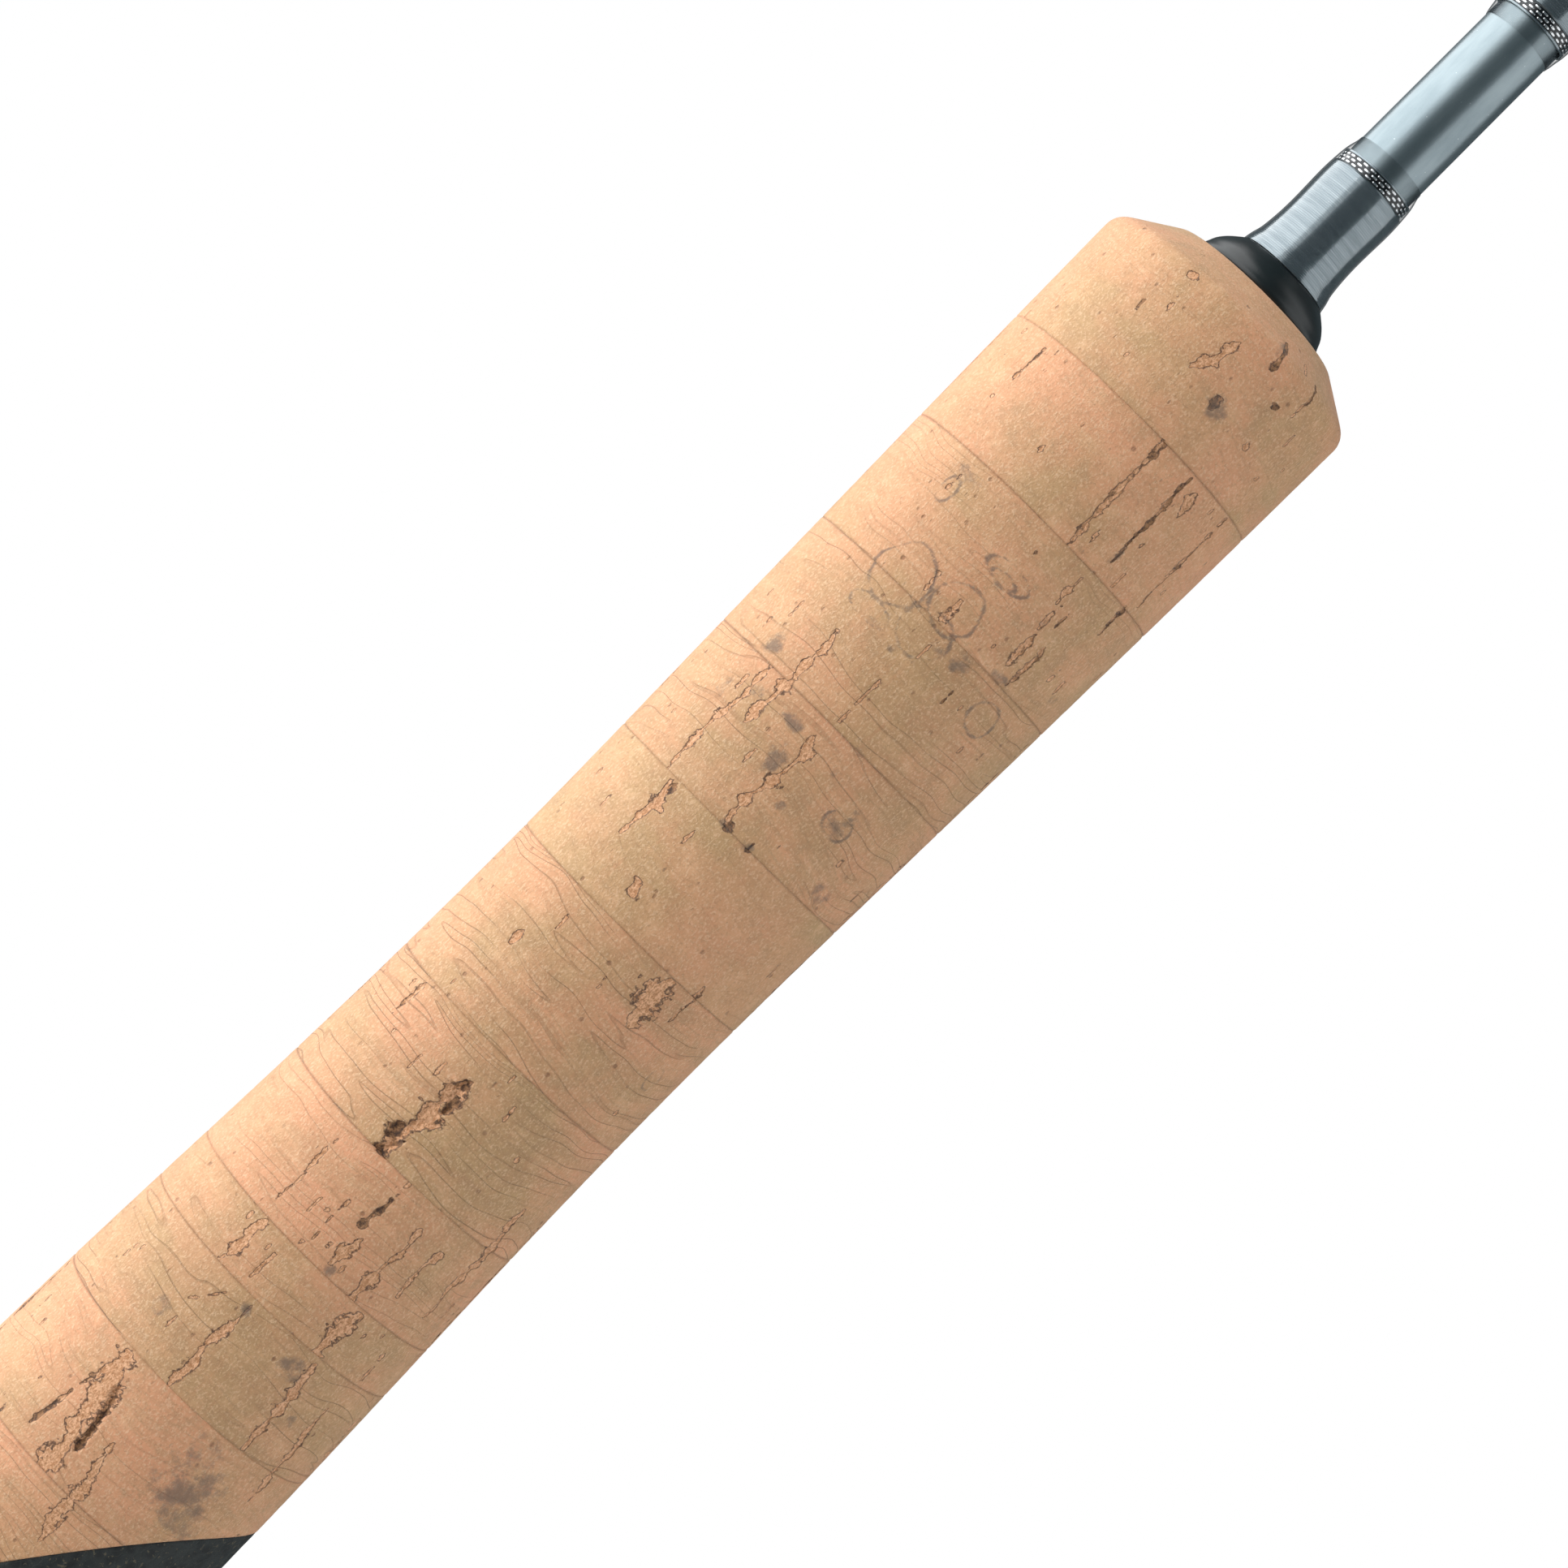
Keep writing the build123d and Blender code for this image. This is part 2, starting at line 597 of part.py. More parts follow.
# The hook keeper: a wire loop below the blank with a foot at each end, each under its own short wrap.
LOOP_START = KEEPER_END + GLUE_LINE + WRAP_OVERRUN + KEEPER_FOOT
LOOP_END = LOOP_START + KEEPER_LOOP_LENGTH
WIRE_LEVEL = -(butt_radius(KEEPER_END) + KEEPER_WIRE_RADIUS + GLUE_LINE)
with BuildPart() as hook_keeper:
    with BuildLine(Plane.XZ):
        FilletPolyline(
            (LOOP_START - KEEPER_FOOT, WIRE_LEVEL),
            (LOOP_START, WIRE_LEVEL),
            (LOOP_START + KEEPER_LOOP_LEAN, WIRE_LEVEL - KEEPER_LOOP_HEIGHT),
            (LOOP_END - KEEPER_LOOP_LEAN, WIRE_LEVEL - KEEPER_LOOP_HEIGHT),
            (LOOP_END, WIRE_LEVEL),
            (LOOP_END + KEEPER_FOOT, WIRE_LEVEL),
            radius=2 * KEEPER_WIRE_RADIUS,
        )
    with BuildSketch(Plane.YZ.offset(LOOP_START - KEEPER_FOOT)):
        with Locations((0, WIRE_LEVEL)):
            Circle(KEEPER_WIRE_RADIUS)
    sweep()
save(hook_keeper.part, "hook_keeper")

with BuildPart() as hook_keeper_wraps:
    wire_cover = 2 * KEEPER_WIRE_RADIUS + GLUE_LINE + WRAP_RISE
    foot_wrap_length = KEEPER_FOOT + WRAP_OVERRUN
    for root, towards in ((LOOP_START - KEEPER_FOOT_GAP, -1), (LOOP_END + KEEPER_FOOT_GAP, 1)):
        toe = root + towards * (foot_wrap_length - KEEPER_FOOT_GAP)
        add(wrap_over_foot(root, toe, KEEPER_FOOT_GAP, wire_cover))
    add(hook_keeper.part, mode=Mode.SUBTRACT)
save(hook_keeper_wraps.part, "hook_keeper_wraps")

# ---- ferrule wraps ---------------------------------------------------------------------------------------
SPIGOT_WRAP_END = TIP_BLANK_START - FERRULE_SPIGOT_WRAP_GAP
SOCKET_WRAP_START = TIP_BLANK_START + FERRULE_SOCKET_WRAP_INSET
for node, start, end, radius in (
    ("ferrule_spigot_wrap", SPIGOT_WRAP_END - FERRULE_SPIGOT_WRAP_LENGTH, SPIGOT_WRAP_END, butt_radius),
    ("ferrule_socket_wrap", SOCKET_WRAP_START, SOCKET_WRAP_START + FERRULE_SOCKET_WRAP_LENGTH, tip_radius),
):
    with BuildPart() as ferrule_wrap:
        rise = THREAD_WALL + FINISH_WALL
        add(
            turned(
                (
                    (start, radius(start) + GLUE_LINE),
                    (start + FERRULE_WRAP_TAPER, radius(start) + rise),
                    (end - FERRULE_WRAP_TAPER, radius(end) + rise),
                    (end, radius(end) + GLUE_LINE),
                )
            )
        )
    save(ferrule_wrap.part, node)

# ---- guides ----------------------------------------------------------------------------------------------


def strut(start, end, radius):
    """A straight round leg between two points."""
    run = Vector(end) - Vector(start)
    with BuildPart() as leg:
        with BuildSketch(Plane(origin=start, z_dir=run.normalized())):
            Circle(radius)
        extrude(amount=run.length)
    return leg.part


def sized(rule, measure):
    """A size that grows with another one, from its rule of (share, base)."""
    share, base = rule
    return share * measure + base


def on_ring(centre_z, radius, spread, side):
    """The point that far round a ring from its top, in degrees, on one side of it."""
    return side * radius * sin(radians(spread)), centre_z + radius * cos(radians(spread))


def foot_outline(root, towards, length):
    """A foot's side view: it lies on the blank from its root and thins towards its end."""
    toe = root + towards * length
    level = -(blank_radius(min(root, toe)) + GLUE_LINE)
    return (
        (root, level),
        (root, level - FOOT_THICKNESS),
        (root + towards * FOOT_FLAT_SHARE * length, level - FOOT_THICKNESS),
        (toe, level - FOOT_THICKNESS / 4),
        (toe, level),
    )


for number, (from_tip, size, height, feet) in enumerate(GUIDES, start=1):
    ring_x = ROD_LENGTH - from_tip
    ring_wall = sized(RING_WALL, size)
    ring_radius = size / 2
    seat_radius = ring_radius + RING_SEAT_WALL
    drop = blank_radius(ring_x) + height
    leg_radius = sized(LEG_RADIUS, size)
    foot_length = sized(FOOT_LENGTH, size)
    reach = sized(FOOT_REACH, height)

    with BuildPart() as guide_ring:
        with BuildSketch(Plane.YZ.offset(ring_x - RING_WIDTH / 2)):
            with Locations((0, -drop)):
                Circle(ring_radius)
                Circle(ring_radius - ring_wall, mode=Mode.SUBTRACT)
        extrude(amount=RING_WIDTH)
        fillet(guide_ring.edges().filter_by(GeomType.CIRCLE), RING_FILLET_SHARE * ring_wall)
    save(guide_ring.part, f"guide_{number}_ring")

    # A pair of legs goes to each foot. The first spreads wide on the ring, and the second, shorter one
    # braces it from the other side.
    with BuildPart() as guide_frame:
        with BuildSketch(Plane.YZ.offset(ring_x - SEAT_WIDTH / 2)):
            with Locations((0, -drop)):
                Circle(seat_radius)
                Circle(ring_radius + GLUE_LINE, mode=Mode.SUBTRACT)
        extrude(amount=SEAT_WIDTH)
        for towards, spread, share in LEG_PAIRS[:feet]:
            root = ring_x + towards * share * reach
            outline = foot_outline(root, towards, foot_length)
            base_z = outline[0][1] - FOOT_THICKNESS / 2
            for side in (-1, 1):
                top = (ring_x, *on_ring(-drop, seat_radius - RING_SEAT_WALL / 2, spread, side))
                add(strut(top, (root + towards * leg_radius, side * FOOT_WIDTH / 4, base_z), leg_radius))
            with BuildSketch(Plane.XZ):
                with BuildLine():
                    Polyline(*outline, close=True)
                make_face()
            extrude(amount=FOOT_WIDTH / 2, both=True)
        # Nothing of the frame stands in the ring or in the blank.
        with BuildSketch(Plane.YZ.offset(ring_x - RING_WIDTH)):
            with Locations((0, -drop)):
                Circle(ring_radius + GLUE_LINE)
        extrude(amount=2 * RING_WIDTH, mode=Mode.SUBTRACT)
        back = ring_x - 2 * reach - foot_length
        front = ring_x + 2 * reach + foot_length
        blank = ((back, 0), (back, blank_radius(back)), (front, blank_radius(front)), (front, 0))
        add(turned(blank), mode=Mode.SUBTRACT)
    save(guide_frame.part, f"guide_{number}_frame")

    with BuildPart() as guide_wraps:
        for towards, spread, share in LEG_PAIRS[:feet]:
            near = ring_x + towards * (share * reach + FOOT_BARE)
            far = ring_x + towards * (share * reach + foot_length + WRAP_OVERRUN)
            add(wrap_over_foot(near, far, foot_length, FOOT_THICKNESS + GLUE_LINE + WRAP_RISE))
        add(guide_frame.part, mode=Mode.SUBTRACT)
    save(guide_wraps.part, f"guide_{number}_wraps")

# ---- tip top ---------------------------------------------------------------------------------------------
TUBE_BORE = TIP_RADIUS + 2 * GLUE_LINE
TUBE_RADIUS = TUBE_BORE + TIP_TUBE_WALL
TUBE_START = TIP_BLANK_END - TIP_TUBE_LENGTH
TUBE_FLARE = tip_radius(TUBE_START) - TIP_RADIUS
TUBE_STOP = TIP_BLANK_END + GLUE_LINE
TIP_RING_X = TIP_BLANK_END + TIP_RING_REACH
TIP_RING_RADIUS = TIP_RING_SIZE / 2

with BuildPart() as tip_top_ring:
    with BuildSketch(Plane.YZ.offset(TIP_RING_X - RING_WIDTH / 2)):
        with Locations((0, -TIP_RING_DROP)):
            Circle(TIP_RING_RADIUS)
            Circle(TIP_RING_RADIUS - TIP_RING_WALL, mode=Mode.SUBTRACT)
    extrude(amount=RING_WIDTH)
    fillet(tip_top_ring.edges().filter_by(GeomType.CIRCLE), RING_FILLET_SHARE * TIP_RING_WALL)
save(tip_top_ring.part, "tip_top_ring")

with BuildPart() as tip_top_frame:
    add(
        turned(
            (
                (TUBE_START, TUBE_BORE + TUBE_FLARE),
                (TUBE_START, TUBE_RADIUS + TUBE_FLARE),
                (TUBE_STOP, TUBE_RADIUS),
                (TUBE_STOP + TIP_TUBE_NOSE, TUBE_RADIUS / 2),
                (TUBE_STOP + TIP_TUBE_NOSE, 0),
                (TUBE_STOP, 0),
                (TUBE_STOP, TUBE_BORE),
            )
        )
    )
    with BuildSketch(Plane.YZ.offset(TIP_RING_X - SEAT_WIDTH / 2)):
        with Locations((0, -TIP_RING_DROP)):
            Circle(TIP_RING_RADIUS + RING_SEAT_WALL)
    extrude(amount=SEAT_WIDTH)
    hold = TIP_RING_RADIUS + RING_SEAT_WALL / 2
    for side in (-1, 1):
        leg_end = (TIP_RING_X, *on_ring(-TIP_RING_DROP, hold, TIP_LEG_SPREAD, side))
        add(strut((TIP_BLANK_END - TIP_LEG_ROOT, side * TUBE_RADIUS, 0), leg_end, TIP_LEG_RADIUS))
        brace_end = (TIP_RING_X, *on_ring(-TIP_RING_DROP, hold, TIP_BRACE_SPREAD, side))
        brace_root = (TIP_BLANK_END - TIP_BRACE_ROOT, side * TIP_LEG_RADIUS, -TUBE_RADIUS)
        add(strut(brace_root, brace_end, TIP_LEG_RADIUS))
    with BuildSketch(Plane.YZ.offset(TIP_RING_X - RING_WIDTH)):
        with Locations((0, -TIP_RING_DROP)):
            Circle(TIP_RING_RADIUS + GLUE_LINE)
    extrude(amount=2 * RING_WIDTH, mode=Mode.SUBTRACT)
    bore = ((TUBE_START, 0), (TUBE_START, TUBE_BORE + TUBE_FLARE), (TUBE_STOP, TUBE_BORE), (TUBE_STOP, 0))
    add(turned(bore), mode=Mode.SUBTRACT)
save(tip_top_frame.part, "tip_top_frame")

with BuildPart() as tip_top_wrap:
    wrap_start = TUBE_START - TIP_WRAP_LENGTH
    wrap_end = TUBE_START - GLUE_LINE
    add(
        turned(
            (
                (wrap_start, tip_radius(wrap_start) + GLUE_LINE / 2),
                (wrap_start + WRAP_SLOPE, tip_radius(wrap_start) + WRAP_RISE),
                (wrap_end - WRAP_SLOPE, tip_radius(wrap_end) + WRAP_RISE),
                (wrap_end, tip_radius(wrap_end) + WRAP_RISE / 2),
                (wrap_end, tip_radius(wrap_end) + GLUE_LINE / 2),
            )
        )
    )
save(tip_top_wrap.part, "tip_top_wrap")
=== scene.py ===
"""The looks of a two-piece spinning rod, built round its CAD frame.

Lengths in the classes are millimetres along X from the butt's end, and heights are Z. An angle round the rod
starts at the side that faces -Y and grows towards the underside, where the reel and the guides hang. The
meshes are scaled to metres as they are made.
"""

from __future__ import annotations

import logging
import math
from dataclasses import dataclass, field, replace
from enum import Enum
from functools import partial
from typing import Any, Callable, Sequence

import bpy
import numpy as np
from mathutils import Matrix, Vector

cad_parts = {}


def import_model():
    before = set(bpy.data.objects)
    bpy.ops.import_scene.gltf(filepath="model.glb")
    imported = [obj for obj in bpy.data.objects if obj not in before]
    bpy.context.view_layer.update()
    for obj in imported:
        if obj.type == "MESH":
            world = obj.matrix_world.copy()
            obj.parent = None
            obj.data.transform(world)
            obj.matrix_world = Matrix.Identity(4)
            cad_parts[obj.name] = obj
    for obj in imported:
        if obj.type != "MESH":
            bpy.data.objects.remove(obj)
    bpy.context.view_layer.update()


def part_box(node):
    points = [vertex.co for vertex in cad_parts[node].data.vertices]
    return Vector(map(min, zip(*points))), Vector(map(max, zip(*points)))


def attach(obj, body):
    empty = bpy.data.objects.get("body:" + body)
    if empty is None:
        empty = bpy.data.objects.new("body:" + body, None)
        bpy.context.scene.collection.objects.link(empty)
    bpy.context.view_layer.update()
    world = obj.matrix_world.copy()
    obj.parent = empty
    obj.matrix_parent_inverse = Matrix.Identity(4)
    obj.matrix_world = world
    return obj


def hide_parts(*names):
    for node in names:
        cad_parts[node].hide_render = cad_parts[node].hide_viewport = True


LOG = logging.getLogger("spinning_rod")
MM = 0.001
TURN = 2 * math.pi

# Where the eye is that the near side's marks and rings are given for: its distance from the axis, and how far
# behind the foregrip's front face. Then the radii at which the marks and the ring joints lie.
EYE_DISTANCE, EYE_BACK = 412.8, 58.0
MARK_RADIUS, RING_RADIUS = 13.3, 13.1

Array = np.ndarray
Piece, Material, Socket = bpy.types.Object, bpy.types.Material, bpy.types.NodeSocket
Point = tuple[float, float, float]


# ---- numbers over a surface ------------------------------------------------------------------------------


def ease(low: float | Array, high: float | Array, value: Array) -> Array:
    """Rises smoothly from 0 at low to 1 at high: 3t^2 - 2t^3 of the share t between them.

    Args:
        low: Where the rise starts.
        high: Where it ends.
        value: The values to ease.

    Returns:
        The eased values.
    """
    share = np.clip((value - low) / (high - low), 0.0, 1.0)
    return share * share * (3.0 - 2.0 * share)


@dataclass(frozen=True)
class Grain:
    """A smooth random field on the unrolled skin of the rod, which joins up with itself round the axis.

    Attributes:
        seed: Picks the random values.
        along: Millimetres of X to a cell.
        around: Cells in a turn.
    """

    seed: int
    along: float
    around: int
    cells: int = 512

    def at(self, x: Array, angle: Array) -> Array:
        """Random cell corners, eased between in both directions, from -1 to 1.

        Args:
            x: Places along the rod, in millimetres.
            angle: Angles round it, in radians.

        Returns:
            The field's value at each place.
        """
        table = np.random.default_rng(self.seed).uniform(-1.0, 1.0, (self.cells, self.around))
        u = x / self.along
        v = angle / TURN * self.around
        i, j = np.floor(u).astype(int), np.floor(v).astype(int)
        s, t = ease(0.0, 1.0, u - i), ease(0.0, 1.0, v - j)
        i0, i1 = i % self.cells, (i + 1) % self.cells
        j0, j1 = j % self.around, (j + 1) % self.around
        near = table[i0, j0] * (1 - t) + table[i0, j1] * t
        far = table[i1, j0] * (1 - t) + table[i1, j1] * t
        return near * (1 - s) + far * s


def rounded(points: Sequence[Sequence[float]], radius: float | Sequence[float], steps: int = 5) -> Array:
    """A closed outline with its corners rounded.

    Each corner becomes the quadratic curve (1-t)^2 A + 2t(1-t) C + t^2 B between two points A and B that lie
    the radius away from the corner C. One more point on each side keeps the shading of the flats flat.

    Args:
        points: The outline's corners.
        radius: One radius, or one for each corner.
        steps: Points on each curve.

    Returns:
        The rounded outline, one row to a point.
    """
    corner = np.asarray(points, float)
    reach = np.broadcast_to(np.asarray(radius, float), (len(corner),))[:, None]
    back, ahead = np.roll(corner, 1, 0) - corner, np.roll(corner, -1, 0) - corner
    back_run, ahead_run = (np.maximum(np.linalg.norm(v, axis=1, keepdims=True), 1e-9) for v in (back, ahead))
    start = corner + back / back_run * np.minimum(reach, 0.4 * back_run)
    end = corner + ahead / ahead_run * np.minimum(reach, 0.4 * ahead_run)
    before = corner + back / back_run * np.minimum(1.3 * reach, 0.46 * back_run)
    after = corner + ahead / ahead_run * np.minimum(1.3 * reach, 0.46 * ahead_run)
    t = np.linspace(0.0, 1.0, steps)[None, :, None]
    curve = (1 - t) ** 2 * start[:, None] + 2 * t * (1 - t) * corner[:, None] + t * t * end[:, None]
    return np.concatenate([before[:, None], curve, after[:, None]], axis=1).reshape(-1, 2)


def filled(points: Array, pitch: float) -> Array:
    """The same open outline with its long runs divided, so that no run is longer than the pitch."""
    runs = np.linalg.norm(np.diff(points, axis=0), axis=1)
    counts = np.maximum(1, np.ceil(runs / pitch).astype(int))
    place = np.concatenate([[0.0], np.repeat(1.0 / counts, counts).cumsum()])
    return np.stack([np.interp(place, np.arange(len(points)), points[:, k]) for k in (0, 1)], axis=1)


# ---- surfaces --------------------------------------------------------------------------------------------


class Ends(Enum):
    """How a grid's rows end."""

    LOOPED = "the last row joins the first one"
    CAPPED = "a flat face closes each end"


def surface(name: str, points: Array, ends: Ends = Ends.LOOPED, around: bool = True) -> Piece:
    """A mesh from a grid of points, with its faces outwards.

    Args:
        name: The piece's name.
        points: Millimetre points, rows by columns by 3, the rows going round the piece's section outwards; or
            several such grids.
        ends: How the rows end.
        around: True if the last column joins the first one.

    Returns:
        The new object, at the origin.
    """
    rows, columns = points.shape[-3:-1]
    copies = points.size // (rows * columns * 3)
    index = np.arange(rows * columns).reshape(rows, columns)
    across = np.roll(index, -1, 1) if around else index[:, 1:]
    here = index if around else index[:, :-1]
    looped = ends is Ends.LOOPED
    near, near_next = (here, across) if looped else (here[:-1], across[:-1])
    far, far_next = (np.roll(here, -1, 0), np.roll(across, -1, 0)) if looped else (here[1:], across[1:])
    quads = np.stack([near, near_next, far_next, far], axis=-1).reshape(-1, 4)
    corners = quads.ravel()
    starts = np.arange(len(quads)) * 4
    if not looped:
        caps = np.concatenate([index[0, ::-1], index[-1]])
        starts = np.concatenate([starts, len(corners) + np.array([0, columns])])
        corners = np.concatenate([corners, caps])
    starts = (starts + np.arange(copies)[:, None] * len(corners)).ravel()
    corners = (corners + np.arange(copies)[:, None] * rows * columns).ravel()
    mesh = bpy.data.meshes.new(name)
    mesh.vertices.add(copies * rows * columns)
    mesh.vertices.foreach_set("co", (points * MM).astype(np.float32).ravel())
    mesh.loops.add(len(corners))
    mesh.loops.foreach_set("vertex_index", corners.astype(np.int32))
    mesh.polygons.add(len(starts))
    mesh.polygons.foreach_set("loop_start", starts.astype(np.int32))
    mesh.polygons.foreach_set("use_smooth", np.ones(len(starts), bool))
    mesh.update(calc_edges=True)
    piece = bpy.data.objects.new(name, mesh)
    bpy.context.scene.collection.objects.link(piece)
    return piece


def joined(name: str, pieces: Sequence[Piece]) -> Piece:
    """One object from several, which are taken away."""
    with bpy.context.temp_override(active_object=pieces[0], selected_editable_objects=list(pieces)):
        bpy.ops.object.join()
    pieces[0].name = name
    pieces[0].data.name = name
    return pieces[0]


def mark(piece: Piece, name: str, values: Array) -> None:
    """Stores one number a vertex on the mesh, for its finish to read."""
    layer = piece.data.attributes.new(name, "FLOAT", "POINT")
    layer.data.foreach_set("value", np.asarray(values, np.float32).ravel())


def wheel(x: Array, radius: Array, angle: Array, centre: tuple[float, float] = (0.0, 0.0)) -> Array:
    """Points at an angle and a radius round a line along X: y = -r cos(angle), z = -r sin(angle).

    Args:
        x: Places along X, one a row or one a point.
        radius: Radii, one a row or one a point.
        angle: Angles, one a column or one a point.
        centre: The line's y and z.

    Returns:
        Rows by columns by 3.
    """
    angle = np.atleast_2d(angle)
    x = x[:, None] if x.ndim == 1 else x
    radius = radius[:, None] if radius.ndim == 1 else radius
    x, radius, angle = np.broadcast_arrays(x, radius, angle)
    return np.stack([x, centre[0] - radius * np.cos(angle), centre[1] - radius * np.sin(angle)], axis=-1)


def angles(count: int) -> Array:
    """That many angles, evenly round a turn."""
    return np.arange(count) * TURN / count


def lathe(
    name: str,
    profile: Array,
    segments: int = 128,
    ends: Ends = Ends.LOOPED,
    centre: tuple[float, float] = (0, 0),
) -> Piece:
    """A profile of (x, radius) turned round a line along X.

    Args:
        name: The piece's name.
        profile: The outline, forwards along its outer side.
        segments: Columns round the turn.
        ends: How the outline ends.
        centre: The line's y and z.

    Returns:
        The new object.
    """
    return surface(name, wheel(profile[:, 0], profile[:, 1], angles(segments), centre), ends)


def wire(
    name: str, route: Array, radius: Array, sides: int = 16, flat: Array | None = None
) -> Piece:
    """A round wire along a route: each section is the route's point + r (cos a U + sin a W), square to it.

    U and W come from one fixed direction, projected square to the route's own direction at each point.

    Args:
        name: The piece's name.
        route: Millimetre points along the wire.
        radius: The wire's radius at each point.
        sides: Sides of the section.
        flat: How much of its height the section keeps at each point.

    Returns:
        The new object.
    """
    ahead = np.gradient(route, axis=0)
    ahead /= np.linalg.norm(ahead, axis=1, keepdims=True)
    side = np.cross(ahead, np.array([0.0, 0.0, 1.0]))
    weak = np.linalg.norm(side, axis=1, keepdims=True) < 1e-3
    side = np.where(weak, np.array([0.0, 1.0, 0.0]), side)
    side /= np.linalg.norm(side, axis=1, keepdims=True)
    up = np.cross(side, ahead)
    turn = angles(sides)[None, :, None]
    keep = np.ones(len(route)) if flat is None else flat
    ring = np.cos(turn) * side[:, None] - np.sin(turn) * up[:, None] * keep[:, None, None]
    return surface(name, route[:, None] + ring * np.asarray(radius)[:, None, None], Ends.CAPPED)


def bezier(points: Sequence[Point], steps: int = 24) -> Array:
    """A smooth route by the cubic curve of four points: the sum of each point times its Bernstein share."""
    t = np.linspace(0.0, 1.0, steps)[:, None]
    p = np.asarray(points, float)
    return (1 - t) ** 3 * p[0] + 3 * t * (1 - t) ** 2 * p[1] + 3 * t * t * (1 - t) * p[2] + t**3 * p[3]


def place(piece: Piece, finish: Finish, body: str, *nodes: str) -> Piece:
    """Dresses a piece, ties it to a body and lets it stand for CAD nodes.

    Args:
        piece: The piece.
        finish: What its surface is.
        body: The CAD body that it moves with.
        nodes: The CAD nodes that it replaces.

    Returns:
        The same piece.
    """
    piece.data.materials.clear()
    piece.data.materials.append(finish.material())
    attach(piece, body)
    if nodes:
        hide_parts(*nodes)
    LOG.info("%s: %d faces, %s", piece.name, len(piece.data.polygons), finish.slot)
    return piece


# ---- finishes --------------------------------------------------------------------------------------------


class Value:
    """A socket that takes Python's arithmetic: each operation adds a Math node."""

    def __init__(self, graph: Graph, socket: Socket) -> None:
        """Keeps the graph and the socket."""
        self.graph = graph
        self.socket = socket

    def _with(self, operation: str, left: Any, right: Any) -> Value:
        """Adds one Math node on two inputs."""
        node = self.graph.node("ShaderNodeMath", {"operation": operation}, {0: left, 1: right})
        return Value(self.graph, node.outputs[0])

    def __add__(self, other: Any) -> Value:
        """self + other."""
        return self._with("ADD", self, other)

    __radd__ = __add__

    def __mul__(self, other: Any) -> Value:
        """self * other."""
        return self._with("MULTIPLY", self, other)

    __rmul__ = __mul__

    def __sub__(self, other: Any) -> Value:
        """self - other."""
        return self._with("SUBTRACT", self, other)

    def __rsub__(self, other: Any) -> Value:
        """other - self."""
        return self._with("SUBTRACT", other, self)

    def __truediv__(self, other: Any) -> Value:
        """self / other."""
        return self._with("DIVIDE", self, other)

    def __pow__(self, other: Any) -> Value:
        """self to the power of other."""
        return self._with("POWER", self, other)

    def __abs__(self) -> Value:
        """The size of self."""
        return self._with("ABSOLUTE", self, 0.0)

    def part(self) -> Value:
        """What self has after its whole number."""
        return self._with("FRACT", self, 0.0)

    def sine(self) -> Value:
        """The sine of self."""
        return self._with("SINE", self, 0.0)

    def eased(self, low: float, high: float) -> Value:
        """Rises smoothly from 0 where self is low to 1 where it is high."""
        node = self.graph.node(
            "ShaderNodeMapRange",
            {"interpolation_type": "SMOOTHSTEP"},
            {"Value": self, "From Min": low, "From Max": high},
        )
        return Value(self.graph, node.outputs[0])


